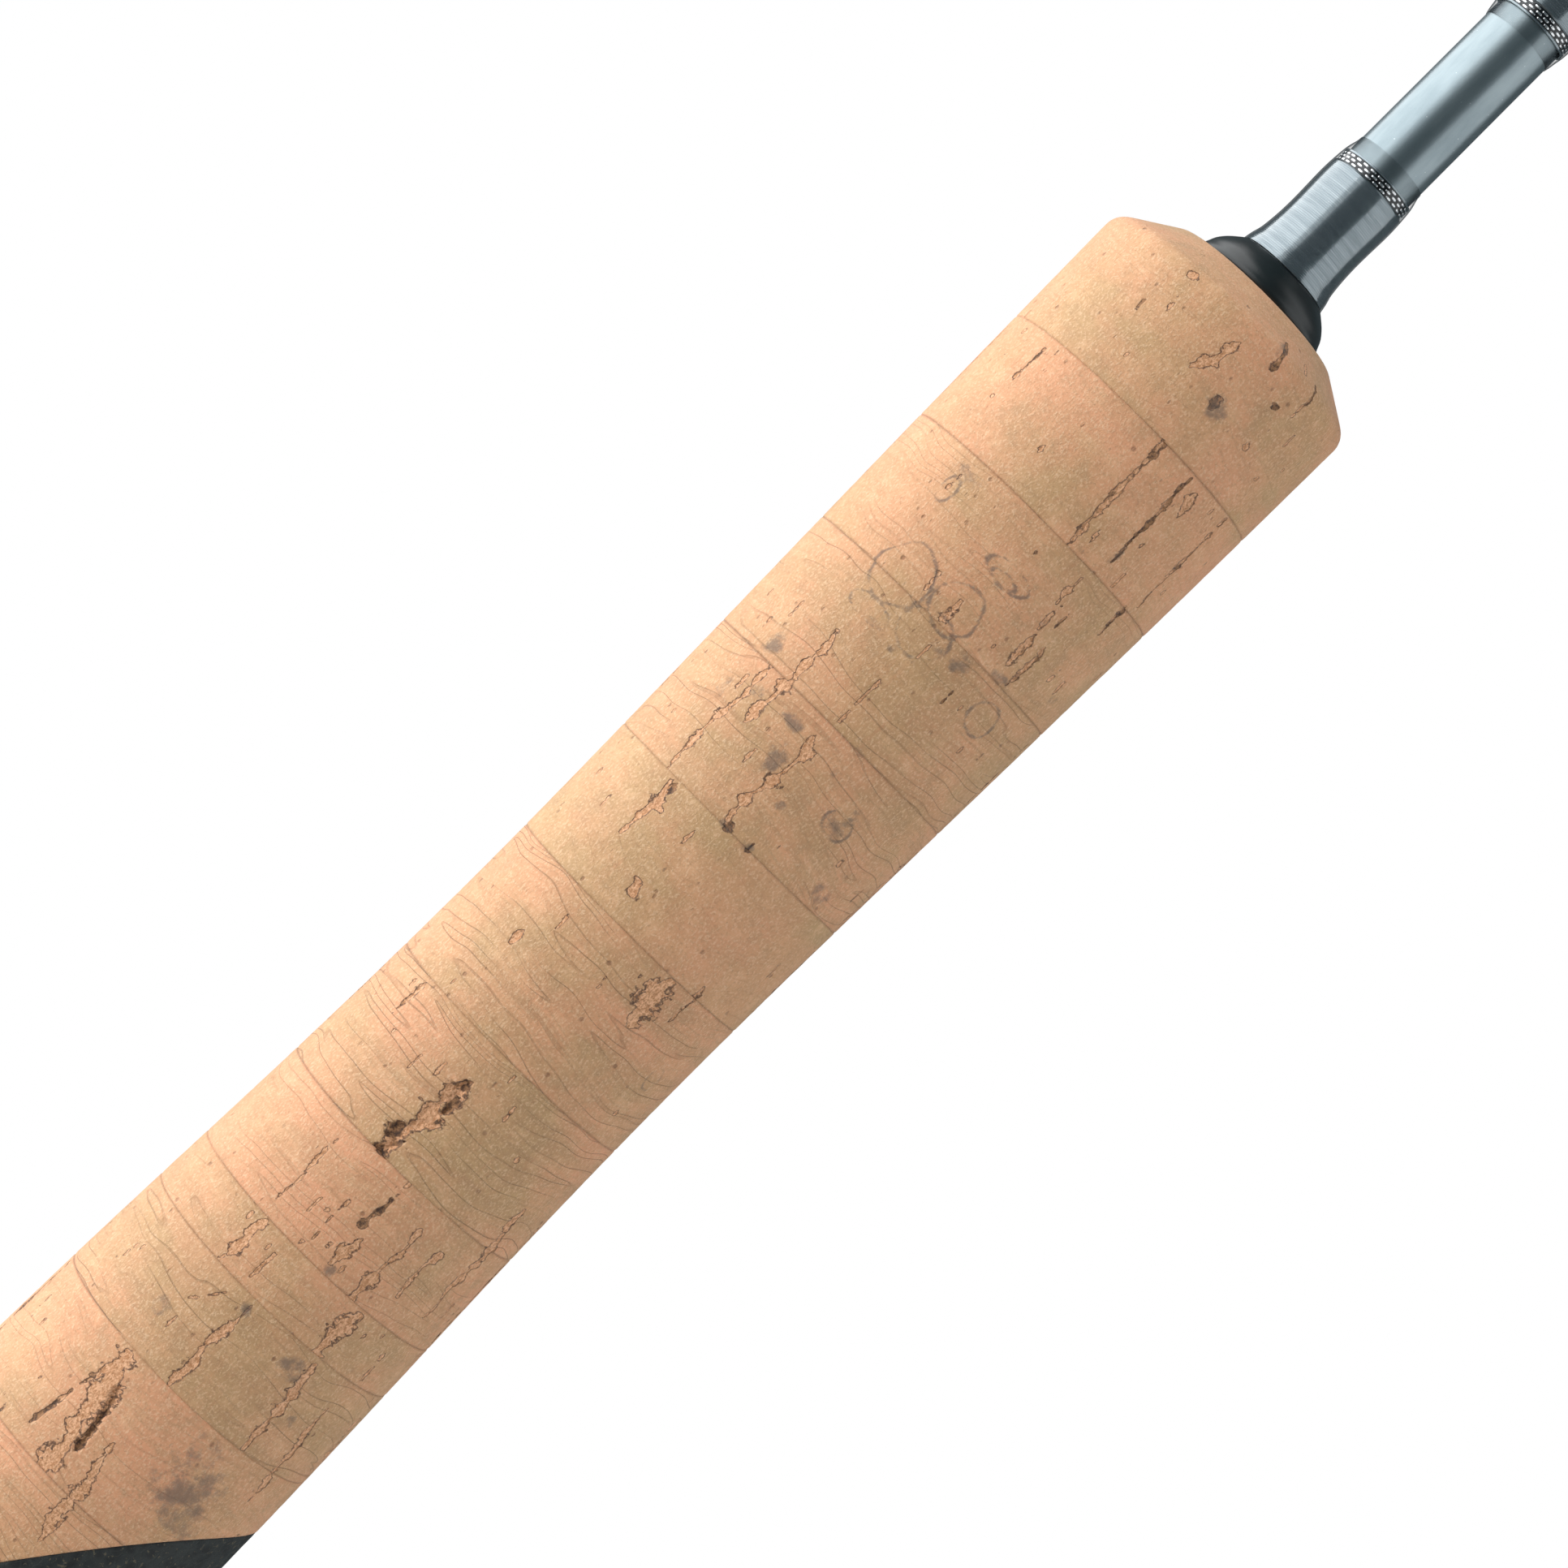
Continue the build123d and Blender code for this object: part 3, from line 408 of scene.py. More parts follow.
class Graph:
    """A material's nodes, with short ways to add them."""

    def __init__(self, name: str) -> None:
        """Starts a material with nothing but its output."""
        self.material = bpy.data.materials.new(name)
        self.material.use_nodes = True
        self.tree = self.material.node_tree
        self.tree.nodes.clear()
        self.output = self.tree.nodes.new("ShaderNodeOutputMaterial")

    def node(
        self, kind: str, settings: dict[str, Any] | None = None, inputs: dict[Any, Any] | None = None
    ) -> Any:
        """Adds a node, sets it and feeds its sockets.

        Args:
            kind: The node's type.
            settings: Its own settings, set first.
            inputs: Values or links by socket name or number, a colour as its red, green and blue.

        Returns:
            The node.
        """
        node = self.tree.nodes.new(kind)
        for key, value in (settings or {}).items():
            setattr(node, key, value)
        for key, value in (inputs or {}).items():
            value = value.socket if isinstance(value, Value) else value
            if isinstance(value, Socket):
                self.tree.links.new(value, node.inputs[key])
            else:
                is_colour = node.inputs[key].type == "RGBA"
                node.inputs[key].default_value = (*value, 1.0) if is_colour else value
        return node

    def place_mm(self, stretch: Point = (1.0, 1.0, 1.0), shift: Any = None) -> Socket:
        """The point on the object in millimetres, stretched along each axis, and shifted."""
        point = self.node("ShaderNodeTexCoord").outputs["Object"]
        scale = tuple(s / MM for s in stretch)
        scaled = self.node("ShaderNodeVectorMath", {"operation": "MULTIPLY"}, {0: point, 1: scale}).outputs[0]
        if shift is None:
            return scaled
        return self.node("ShaderNodeVectorMath", {"operation": "ADD"}, {0: scaled, 1: shift}).outputs[0]

    def noise(self, vector: Any, scale: float, detail: float = 2.0, rough: float = 0.5) -> Value:
        """A noise of that many waves to a millimetre, from 0 to 1."""
        inputs = {"Vector": vector, "Scale": scale, "Detail": detail, "Roughness": rough}
        return Value(self, self.node("ShaderNodeTexNoise", None, inputs).outputs[0])

    def cells(self, vector: Any, scale: float, feature: str = "F1", spread: float = 1.0) -> Value:
        """The distance to the nearest of many scattered points, or to the edge between two of them."""
        inputs = {"Vector": vector, "Scale": scale, "Randomness": spread}
        node = self.node("ShaderNodeTexVoronoi", {"feature": feature}, inputs)
        return Value(self, node.outputs["Distance"])

    def vector(self, x: Any, y: Any, z: Any) -> Socket:
        """A vector of three numbers."""
        return self.node("ShaderNodeCombineXYZ", None, {0: x, 1: y, 2: z}).outputs[0]

    def read(self, name: str) -> Value:
        """A number stored on the mesh."""
        return Value(self, self.node("ShaderNodeAttribute", {"attribute_name": name}).outputs["Fac"])

    def along(self, vector: Any, axis: str = "X") -> Value:
        """One part of a vector."""
        return Value(self, self.node("ShaderNodeSeparateXYZ", None, {0: vector}).outputs[axis])

    def blend(self, share: Any, first: Any, second: Any) -> Socket:
        """Goes from the first colour to the second as the share goes from 0 to 1."""
        node = self.node("ShaderNodeMix", {"data_type": "RGBA"}, {0: share, 6: first, 7: second})
        return node.outputs[2]

    def bump(self, height: Value, depth: float, strength: float = 1.0) -> Socket:
        """A normal from a height whose whole range is that many millimetres deep."""
        inputs = {"Height": height, "Distance": depth * MM, "Strength": strength}
        return self.node("ShaderNodeBump", None, inputs).outputs[0]

    def skin(self, **inputs: Any) -> Material:
        """Ends the graph in one Principled shader, with the sockets' names written with underscores."""
        named = {key.replace("_", " ").title().replace("Ior", "IOR"): value for key, value in inputs.items()}
        shader = self.node("ShaderNodeBsdfPrincipled", None, named)
        self.tree.links.new(shader.outputs[0], self.output.inputs[0])
        return self.material


@dataclass(frozen=True)
class Finish:
    """What a surface is made of. Its material is made once.

    Attributes:
        name: The material's name.
        slot: The record's material slot.
    """

    name: str
    slot: str

    def material(self) -> Material:
        """The finish's material, apart from any of the same name that came with the CAD."""
        name = f"look_{self.name}"
        found = bpy.data.materials.get(name)
        return found if found else self.build(Graph(name))

    def build(self, graph: Graph) -> Material:
        """Wires up the material."""
        raise NotImplementedError


@dataclass(frozen=True)
class Cork(Finish):
    """Sanded natural cork: growth lines across the grip, filled pores along it, fine cells all over.

    The mesh stores "tint" (0 olive to 1 pink), "lines" (how strong the growth lines are), "seed" (moves the
    pattern from ring to ring), "pore" (0 outside a pore to 1 in its middle), "pale" (1 where a pore is
    filled), "smoke" (grey marks) and "joint" (1 at the ring's ends).
    """

    name: str = "cork"
    slot: str = "cork"

    def build(self, graph: Graph) -> Material:
        """Wires up the material."""
        seed, lines = graph.read("seed"), graph.read("lines")
        drift = graph.vector(seed * 37.0, seed * 11.0, seed * 23.0)
        spot, own = graph.place_mm(), graph.place_mm((1.0, 1.0, 1.0), drift)
        bend = graph.noise(graph.place_mm((0.6, 1.0, 1.0), drift), 0.070, 2.0, 0.4) - 0.5
        layer = graph.along(own, "X") + bend * 7.0
        across = graph.vector(layer, graph.along(own, "Y") * 0.07, graph.along(own, "Z") * 0.07)
        strata = graph.noise(across, 0.55, 5.0, 0.62)
        ripple = graph.noise(across, 3.4, 2.0, 0.6)
        growth = graph.noise(across, 0.34, 1.5, 0.5)
        broken = graph.noise(graph.place_mm((1.0, 0.35, 0.35), drift), 0.16, 2.0, 0.5)
        seam = (1.0 - abs((growth * 8.0).part() - 0.5).eased(0.01, 0.06)) * broken.eased(0.36, 0.56) * lines
        cloud = graph.noise(own, 0.11, 4.0, 0.6)
        patch = graph.noise(own, 0.42, 4.0, 0.65)
        fine = graph.noise(spot, 2.9, 4.0, 0.85)
        grain = graph.noise(graph.place_mm((0.6, 1.0, 1.0)), 5.5, 2.0, 0.8)
        streak = graph.noise(graph.place_mm((0.16, 1.0, 1.0), drift), 1.5, 4.0, 0.65)
        speck = (1.0 - graph.cells(own, 0.55).eased(0.06, 0.16)) * streak.eased(0.45, 0.6)

        olive, pink = (0.585, 0.354, 0.170), (0.795, 0.380, 0.204)
        colour = graph.blend((graph.read("tint") + (cloud - 0.5) * 2.6).eased(-0.1, 1.1), olive, pink)
        colour = graph.blend(patch.eased(0.50, 0.72) * 0.46, colour, (0.88, 0.54, 0.30))
        colour = graph.blend((1.0 - patch).eased(0.50, 0.72) * 0.44, colour, (0.45, 0.28, 0.145))
        bands = strata.eased(0.38, 0.64) * (lines * 0.36 + 0.12)
        colour = graph.blend(bands, colour, (0.50, 0.29, 0.14))
        hairs = ripple.eased(0.44, 0.72) * (lines * 0.20 + 0.12)
        colour = graph.blend(hairs, colour, (0.42, 0.24, 0.12))
        colour = graph.blend(streak.eased(0.52, 0.72) * 0.30, colour, (0.60, 0.27, 0.13))
        colour = graph.blend(broken.eased(0.50, 0.62) * 0.26, colour, (0.88, 0.385, 0.215))
        colour = graph.blend(fine.eased(0.50, 0.68) * 0.46, colour, (0.40, 0.205, 0.09))
        colour = graph.blend(grain.eased(0.50, 0.66) * 0.48, colour, (0.93, 0.655, 0.415))
        colour = graph.blend(seam * 0.30, colour, (0.28, 0.135, 0.055))
        colour = graph.blend(speck * 0.62, colour, (0.26, 0.11, 0.05))
        joint = graph.read("joint") * (broken.eased(0.44, 0.60) * 0.28 + 0.08)
        colour = graph.blend(joint, colour, (0.170, 0.085, 0.045))

        raw, jag = graph.read("pore"), graph.noise(spot, 1.7, 5.0, 0.78)
        near = raw.eased(0.0, 0.14)
        pore = raw + (jag - 0.5) * 1.5 * near
        inside = pore.eased(0.30, 0.42)
        rim = (1.0 - abs(pore - 0.33).eased(0.03, 0.19)) * near * (fine.eased(0.30, 0.52) * 0.75 + 0.25)
        chips = graph.noise(graph.place_mm((0.6, 1.0, 1.0)), 1.15, 3.0, 0.7)
        dark = ((chips - 0.5) * 1.6 + (1.0 - graph.read("pale"))).eased(0.68, 0.92)
        filling = graph.blend(grain.eased(0.35, 0.65), (0.95, 0.54, 0.31), (0.56, 0.25, 0.105))
        hole = graph.blend(jag.eased(0.40, 0.60), (0.085, 0.045, 0.030), (0.46, 0.23, 0.105))
        colour = graph.blend(inside, colour, graph.blend(dark, filling, hole))
        colour = graph.blend(rim * 0.85, colour, (0.125, 0.050, 0.020))
        puff = graph.noise(spot, 0.9, 5.0, 0.72)
        grey = graph.read("smoke")
        smoke = (grey * 1.1 + (puff - 0.5) * 2.0 * grey.eased(0.0, 0.25)).eased(0.18, 0.95)
        colour = graph.blend(smoke * 0.66, colour, (0.130, 0.100, 0.085))

        height = fine * 0.5 + grain * 0.5 + seam * -0.6 + speck * -0.8 + streak * 0.3
        height = height + inside * (jag * -1.4 - 0.4)
        return graph.skin(
            base_color=colour,
            roughness=(fine * 0.2 + 0.58),
            normal=graph.bump(height, 0.13, 0.9),
            specular_ior_level=0.45,
            sheen_weight=0.15,
            sheen_roughness=0.4,
        )


@dataclass(frozen=True)
class RubberCork(Finish):
    """Black rubberised cork: crumbs of many sizes pressed together, sanded flat."""

    name: str = "rubber_cork"
    slot: str = "composite"
    dark: Point = (0.0065, 0.0085, 0.0090)

    def build(self, graph: Graph) -> Material:
        """Wires up the material."""
        spot = graph.place_mm()
        crumb = graph.cells(spot, 0.9)
        edge = graph.cells(spot, 0.9, "DISTANCE_TO_EDGE")
        tint = graph.noise(spot, 0.7, 3.0, 0.6)
        fleck = graph.noise(spot, 2.4, 2.0, 0.6).eased(0.60, 0.70)
        grit = graph.noise(spot, 7.0, 2.0, 0.6)
        colour = graph.blend(tint.eased(0.4, 0.7), self.dark, (0.016, 0.022, 0.023))
        colour = graph.blend(crumb.eased(0.25, 0.6) * 0.5, colour, (0.030, 0.036, 0.034))
        colour = graph.blend(fleck * 0.75, colour, (0.115, 0.095, 0.060))
        colour = graph.blend(grit.eased(0.62, 0.74) * 0.5, colour, (0.075, 0.080, 0.072))
        height = edge.eased(0.0, 0.1) * 0.6 + grit * 0.6 + fleck * -0.4
        return graph.skin(
            base_color=colour, roughness=(grit * 0.25 + 0.62), normal=graph.bump(height, 0.08, 0.7)
        )


@dataclass(frozen=True)
class SoftRubber(Finish):
    """Smooth black rubber with a satin skin."""

    name: str = "soft_rubber"
    slot: str = "check_rubber"
    colour: Point = (0.0050, 0.0105, 0.0120)
    rough: float = 0.34

    def build(self, graph: Graph) -> Material:
        """Wires up the material."""
        spot = graph.place_mm()
        smear = graph.noise(spot, 0.35, 3.0, 0.5)
        fine = graph.noise(spot, 9.0, 2.0, 0.6)
        deep = tuple(c * 0.6 for c in self.colour)
        colour = graph.blend(smear.eased(0.35, 0.7), self.colour, deep)
        return graph.skin(
            base_color=colour,
            roughness=(smear * 0.12 + fine * 0.06 + (self.rough - 0.09)),
            normal=graph.bump(fine, 0.012, 0.5),
            ior=1.52,
        )


@dataclass(frozen=True)
class BlankPaint(Finish):
    """Satin slate paint with fine metal flake under a thin clear coat."""

    name: str = "blank_paint"
    slot: str = "blank"
    colour: Point = (0.285, 0.345, 0.370)
    deep: Point = (0.215, 0.270, 0.295)

    def build(self, graph: Graph) -> Material:
        """Wires up the material."""
        spot = graph.place_mm()
        flake = graph.cells(spot, 5.0)
        spark = 1.0 - graph.cells(spot, 0.9).eased(0.03, 0.06)
        cloud = graph.noise(graph.place_mm((0.25, 1.0, 1.0)), 0.6, 3.0, 0.6)
        fine = graph.noise(spot, 6.0, 2.0, 0.6)
        colour = graph.blend(cloud.eased(0.3, 0.7), self.colour, self.deep)
        colour = graph.blend(flake.eased(0.1, 0.5) * 0.15, colour, (0.30, 0.35, 0.37))
        colour = graph.blend(spark * 0.6, colour, (0.62, 0.68, 0.70))
        return graph.skin(
            base_color=colour,
            metallic=0.92,
            roughness=(fine * 0.06 + cloud * 0.05 + 0.27),
            normal=graph.bump(fine + flake * 0.4, 0.006, 0.5),
            coat_weight=0.35,
            coat_roughness=0.18,
        )


@dataclass(frozen=True)
class Thread(Finish):
    """Nylon winding thread soaked in clear resin: turn after turn of fine strands under a glassy coat, with
    painted shade in the grooves between the turns.
    """

    name: str = "winding_thread"
    slot: str = "thread"
    colour: Point = (0.270, 0.320, 0.345)
    deep: Point = (0.185, 0.230, 0.255)
    strand: float = 0.19

    def build(self, graph: Graph) -> Material:
        """Wires up the material."""
        spot = graph.place_mm()
        phase = graph.along(spot) * (TURN / self.strand) + graph.noise(spot, 0.9, 2.0) * 1.2
        turns = phase.sine() * 0.5 + 0.5
        band = graph.noise(graph.place_mm((4.0, 0.25, 0.25)), 0.9, 3.0, 0.65)
        dust = 1.0 - graph.cells(spot, 1.1).eased(0.03, 0.07)
        colour = graph.blend(band.eased(0.3, 0.7), self.colour, self.deep)
        # painted shade: the colour darkens towards a deeper tone in the grooves between the turns, where
        # shade falls between the strands
        groove = tuple(c * 0.45 for c in self.deep)
        colour = graph.blend(turns.eased(0.0, 0.5) * -0.35 + 0.35, colour, groove)
        colour = graph.blend(dust * 0.5, colour, (0.60, 0.64, 0.66))
        return graph.skin(
            base_color=colour,
            metallic=0.85,
            roughness=(band * 0.10 + 0.17),
            normal=graph.bump(turns + band * 0.5, 0.016, 0.6),
            coat_weight=1.0,
            coat_roughness=0.03,
        )


@dataclass(frozen=True)
class Resin(Finish):
    """Clear winding resin: seen through where it faces straight out, glossy along its rims, and dark there
    with painted shade: a dark sheet that turns opaque edge-on stands in for the dark refraction and
    reflection of clear resin.
    """

    name: str = "winding_resin"
    slot: str = "epoxy"

    def build(self, graph: Graph) -> Material:
        """Wires up the material."""
        # painted shade: the facing weight makes the dark resin opaque along its rims, in place of the dark
        # refraction and reflection that clear resin shows edge-on
        rim = Value(graph, graph.node("ShaderNodeLayerWeight", None, {"Blend": 0.5}).outputs["Facing"])
        ripple = graph.noise(graph.place_mm(), 0.5, 2.0, 0.5)
        return graph.skin(
            base_color=(0.030, 0.036, 0.042),
            roughness=(ripple * 0.03 + 0.03),
            normal=graph.bump(ripple, 0.02, 0.4),
            alpha=(rim.eased(0.55, 0.95) * 0.90 + 0.05),
            ior=1.55,
        )


@dataclass(frozen=True)
class Metal(Finish):
    """Bare or plated metal, with fine scratches one way.

    Attributes:
        colour: Its reflection's colour.
        rough: How blurred the reflection is.
        brushed: How the scratches are stretched along each axis.
        depth: How deep they are, in millimetres.
    """

    name: str = "dark_steel"
    slot: str = "steel"
    colour: Point = (0.20, 0.21, 0.22)
    rough: float = 0.28
    brushed: Point = (8.0, 0.4, 0.4)
    depth: float = 0.004

    def build(self, graph: Graph) -> Material:
        """Wires up the material."""
        scratch = graph.noise(graph.place_mm(self.brushed), 1.6, 3.0, 0.7)
        smear = graph.noise(graph.place_mm(), 0.25, 3.0, 0.6)
        worn = tuple(c * 0.72 for c in self.colour)
        wear = (scratch * 0.6 + smear * 0.4).eased(0.35, 0.7)
        colour = graph.blend(wear, self.colour, worn)
        return graph.skin(
            base_color=colour,
            metallic=1.0,
            roughness=(scratch * 0.12 + smear * 0.10 + (self.rough - 0.1)),
            normal=graph.bump(scratch, self.depth, 0.6),
        )


@dataclass(frozen=True)
class Moulded(Finish):
    """Moulded plastic with a fine spark-eroded grain.

    Attributes:
        colour: Its colour.
        rough: How matt it is.
        grain: Grains to a millimetre.
        depth: How deep the grain is, in millimetres.
    """

    name: str = "moulded_black"
    slot: str = "seat"
    colour: Point = (0.012, 0.013, 0.014)
    rough: float = 0.46
    grain: float = 4.0
    depth: float = 0.02

    def build(self, graph: Graph) -> Material:
        """Wires up the material."""
        spot = graph.place_mm()
        pebble = graph.cells(spot, self.grain)
        smear = graph.noise(spot, 0.2, 3.0, 0.6)
        light = tuple(c * 1.7 + 0.002 for c in self.colour)
        colour = graph.blend(smear.eased(0.35, 0.75), self.colour, light)
        return graph.skin(
            base_color=colour,
            roughness=(smear * 0.16 + (self.rough - 0.08)),
            normal=graph.bump(pebble, self.depth, 0.5),
        )


BLACK_SEAT = Moulded()
DARK_THREAD = Thread("dark_thread", "thread", (0.014, 0.017, 0.020), (0.008, 0.010, 0.012))
SEAT_FOAM = Moulded("arbor_foam", "arbor", (0.66, 0.62, 0.50), 0.8, 2.2, 0.12)
CAP_RUBBER = SoftRubber("cap_rubber", "cap_rubber", (0.010, 0.010, 0.011), 0.55)
DARK_STEEL = Metal()
TRIM_METAL = Metal("trim_metal", "trim_metal", (0.40, 0.42, 0.44), 0.24, (0.4, 3.0, 3.0))
GUIDE_STEEL = Metal("guide_steel", "guide_steel", (0.13, 0.14, 0.15), 0.22, (2.0, 2.0, 2.0), 0.002)
SILVER_THREAD = Metal("silver_thread", "silver_thread", (0.86, 0.88, 0.90), 0.20, (6.0, 6.0, 6.0), 0.004)
RING_CERAMIC = Moulded("ring_ceramic", "ring", (0.018, 0.019, 0.022), 0.12, 6.0, 0.0006)


# ---- the blank -------------------------------------------------------------------------------------------


@dataclass(frozen=True)
class Span:
    """The reach of a CAD node along the rod, in millimetres."""

    start: float
    end: float

    @classmethod
    def of(cls, node: str) -> Span:
        """A node's span."""
        low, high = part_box(node)
        return cls(low.x / MM, high.x / MM)

    @property
    def length(self) -> float:
        """The span's length."""
        return self.end - self.start

    @property
    def middle(self) -> float:
        """The span's middle."""
        return (self.start + self.end) / 2


@dataclass(frozen=True)
class Blank:
    """The two graphite sections, whose radius the wraps on their ferrule are wound over.

    Attributes:
        butt_radius: Radius at the butt blank's start.
        taper: Radius lost to a millimetre.
        wall: The butt blank's wall.
        socket_wall: How much larger the tip blank's socket is than the butt blank inside it.
        shoulder: How far the socket takes to come down to the blank's own size.
        tip_radius: Radius at the tip.
    """

    butt_radius: float = 4.6
    taper: float = 0.00188
    wall: float = 0.9
    socket_wall: float = 0.71
    shoulder: float = 12.0
    tip_radius: float = 0.85

    def radius(self, x: Array | float) -> Array:
        """The outer radius of whichever blank shows at x: straight tapers, with the socket on top."""
        butt, tip = Span.of("butt_blank"), Span.of("tip_blank")
        own = self.butt_radius - self.taper * (np.asarray(x, float) - butt.start)
        end = self.butt_radius - self.taper * butt.length
        xs = [tip.start, butt.end, butt.end + self.shoulder, tip.end]
        start_radius = self.butt_radius - self.taper * (tip.start - butt.start) + self.socket_wall
        socket = np.interp(x, xs, [start_radius, end + self.socket_wall, end, self.tip_radius])
        return np.where(np.asarray(x) < tip.start, own, socket)

    def outline(self, x: Array, bore: float, edge: float) -> Array:
        """A tube's closed outline: out along its skin, back along its bore, its rims eased by the edge."""
        radius = self.radius(x)
        skin = np.stack([x, radius], axis=1)
        rims = [[x[0] - 0.0, radius[0] - edge], [x[0] + edge, radius[0]]]
        front = [[x[-1] - edge, radius[-1]], [x[-1], radius[-1] - edge]]
        hole = [[x[-1], radius[-1] - bore], [x[0], radius[0] - bore]]
        return np.concatenate([rims, skin[1:-1], front, hole])

    def build(self) -> None:
        """Makes the two blanks."""
        paint = BlankPaint()
        butt, tip = Span.of("butt_blank"), Span.of("tip_blank")
        own = self.butt_radius - self.taper * butt.length
        x = np.linspace(butt.start, tip.start, 64)
        skin = self.outline(x, self.wall, 0.05)
        inner = self.butt_radius - self.wall
        hidden = np.array([[butt.end, own], [butt.end, own - self.wall], [butt.start, inner]])
        skin = np.concatenate([skin[:-4], [[x[-1], self.radius(x[-1] - 0.01)]], hidden])
        place(lathe("butt_blank_painted", skin, 96), paint, "butt_section", "butt_blank")
        stations = [tip.start, butt.end, butt.end + self.shoulder]
        runs = [np.linspace(a, b, 12)[:-1] for a, b in zip(stations[:-1], stations[1:])]
        x = np.concatenate([*runs, np.linspace(stations[-1], tip.end, 60)])
        skin = self.outline(x, 0.5, 0.06)
        place(lathe("tip_blank_painted", skin, 80), paint, "tip_section", "tip_blank")


# ---- cork and composite grips ----------------------------------------------------------------------------


class MarkKind(Enum):
    """What a natural mark in the cork is."""

    PORE = "a channel that runs along the grip"
    LOOP = "a thin grey ring"
    SMUDGE = "a soft grey stain"


@dataclass(frozen=True)
class CorkMark:
    """One natural mark.

    Attributes:
        kind: What it is.
        back: How far its middle is behind the grip's front face.
        angle: Degrees round from the -Y side towards the underside.
        length: Its size along the grip.
        width: Its size round the grip.
        pale: 0 for an open dark pore, 1 for one that is filled with pink cork.
        lean: Degrees that its angle gains from its back end to its front end.
        depth: How deep it is.
    """

    kind: MarkKind
    back: float
    angle: float
    length: float
    width: float
    pale: float = 0.0
    lean: float = 0.0
    depth: float = 0.12

    def settled(self) -> CorkMark:
        """The mark where it lies on the cork, from where it seems to lie to the eye.

        A point at radius r and angle a is r cos(a) nearer to the eye than the axis is, so it seems
        f = D / (D - r cos(a)) times further out: back = m + (seen - m) / f, and sin(a) = sin(seen a) / f.
        """
        seen = math.radians(self.angle)
        swell = EYE_DISTANCE / (EYE_DISTANCE - MARK_RADIUS * math.cos(seen))
        back = EYE_BACK + (self.back - EYE_BACK) / swell
        angle = math.degrees(math.asin(math.sin(seen) / swell))
        return replace(self, back=round(back, 1), angle=round(angle, 1))


@dataclass
class CorkSkin:
    """The marks over a patch of cork, worked out for every point of a grid.

    Attributes:
        x: Places along the rod, rows by columns.
        angle: Angles, one a column.
        radius: The grip's radius at each point.
        front: Where the grip's front face is.
        seed: Picks the random edges.
    """

    x: Array
    angle: Array
    radius: Array
    front: float
    seed: int
    pore: Array = field(init=False)
    pale: Array = field(init=False)
    smoke: Array = field(init=False)
    depth: Array = field(init=False)

    def __post_init__(self) -> None:
        """Starts with plain cork."""
        self.pore, self.pale, self.smoke, self.depth = (np.zeros_like(self.x) for _ in range(4))

    def add(self, number: int, item: CorkMark) -> None:
        """Works one mark into the fields, over the few rows and columns that it touches.

        A pore's value is 1 - |arc - wander| / half width, with the half width (1 - t^2)^0.4 of its middle's,
        broken up by noise, where t goes from -1 to 1 along it. A loop is exp(-(rho - 1)^2) round an ellipse,
        and a smudge is exp(-rho^2) inside one.
        """
        middle = self.front - item.back
        turn = np.angle(np.exp(1j * (self.angle - math.radians(item.angle))))
        margin = item.width + 1.2
        rows = np.flatnonzero((np.abs(self.x - middle) < item.length / 2 + 1.2).any(axis=1))
        sweep = math.radians(abs(item.lean)) * 14.0
        columns = np.flatnonzero(np.abs(turn) * self.radius.mean() < margin + sweep)
        if not len(rows) or not len(columns):
            return
        block = np.ix_(rows, columns)
        x, radius = self.x[block], self.radius[block]
        spin = np.broadcast_to(self.angle[columns], x.shape)
        t = (x - middle) / (item.length / 2)
        arc = (turn[columns][None, :] - math.radians(item.lean) / 2 * t) * radius
        seed = self.seed * 101 + number * 7
        if item.kind is MarkKind.PORE:
            wander = Grain(seed, 1.9, 1).at(x, spin * 0) * min(0.34, 0.30 * item.width)
            ragged = np.clip(0.72 + 0.62 * Grain(seed + 1, 0.9, 1).at(x, spin * 0), 0.15, 1.3)
            nibble = 0.34 * Grain(seed + 2, 0.25, 340).at(x, spin)
            nibble = nibble + 0.26 * Grain(seed + 3, 0.6, 140).at(x, spin)
            half = 0.66 * item.width * np.clip(1 - t * t, 0, 1) ** 0.4 * ragged
            value = np.where(half > 0.01, 1 - np.abs(arc - wander) / np.maximum(half, 0.02) + nibble, 0.0)
            value = np.clip(value, 0.0, 1.0) * (np.abs(t) < 1)
            deeper = value > self.pore[block]
            self.pore[block] = np.where(deeper, value, self.pore[block])
            self.pale[block] = np.where(deeper, item.pale, self.pale[block])
            sunk = ease(0.25, 0.7, value) * (1.0 - 0.85 * item.pale)
            self.depth[block] = np.maximum(self.depth[block], item.depth * sunk)
            return
        wobble = 1.0 + 0.14 * Grain(seed, 1.8, 46).at(x, spin)
        rho = np.hypot(t, arc / (item.width / 2)) * wobble
        if item.kind is MarkKind.LOOP:
            breadth = 0.18 / (0.25 * (item.length + item.width))
            patchy = 0.70 + 0.45 * Grain(seed + 1, 1.6, 52).at(x, spin)
            value = np.exp(-(((rho - 1.0) / breadth) ** 2)) * patchy
        else:
            value = np.exp(-(rho**4)) * (0.62 + 0.38 * Grain(seed + 1, 0.9, 90).at(x, spin))
        self.smoke[block] = np.maximum(self.smoke[block], value * (1.0 - item.pale))

    def store(
        self, piece: Piece, rows: slice, total: int, tint: float, lines: float, seed: float
    ) -> None:
        """Writes the fields to the mesh, whose grid has more rows than the skin's own."""
        columns = self.x.shape[1]
        for name, values in (("pore", self.pore), ("pale", self.pale), ("smoke", self.smoke)):
            whole = np.zeros((total, columns))
            whole[rows] = values
            mark(piece, name, whole)
        for name, level in (("tint", tint), ("lines", lines), ("seed", seed)):
            mark(piece, name, np.full(total * columns, level))


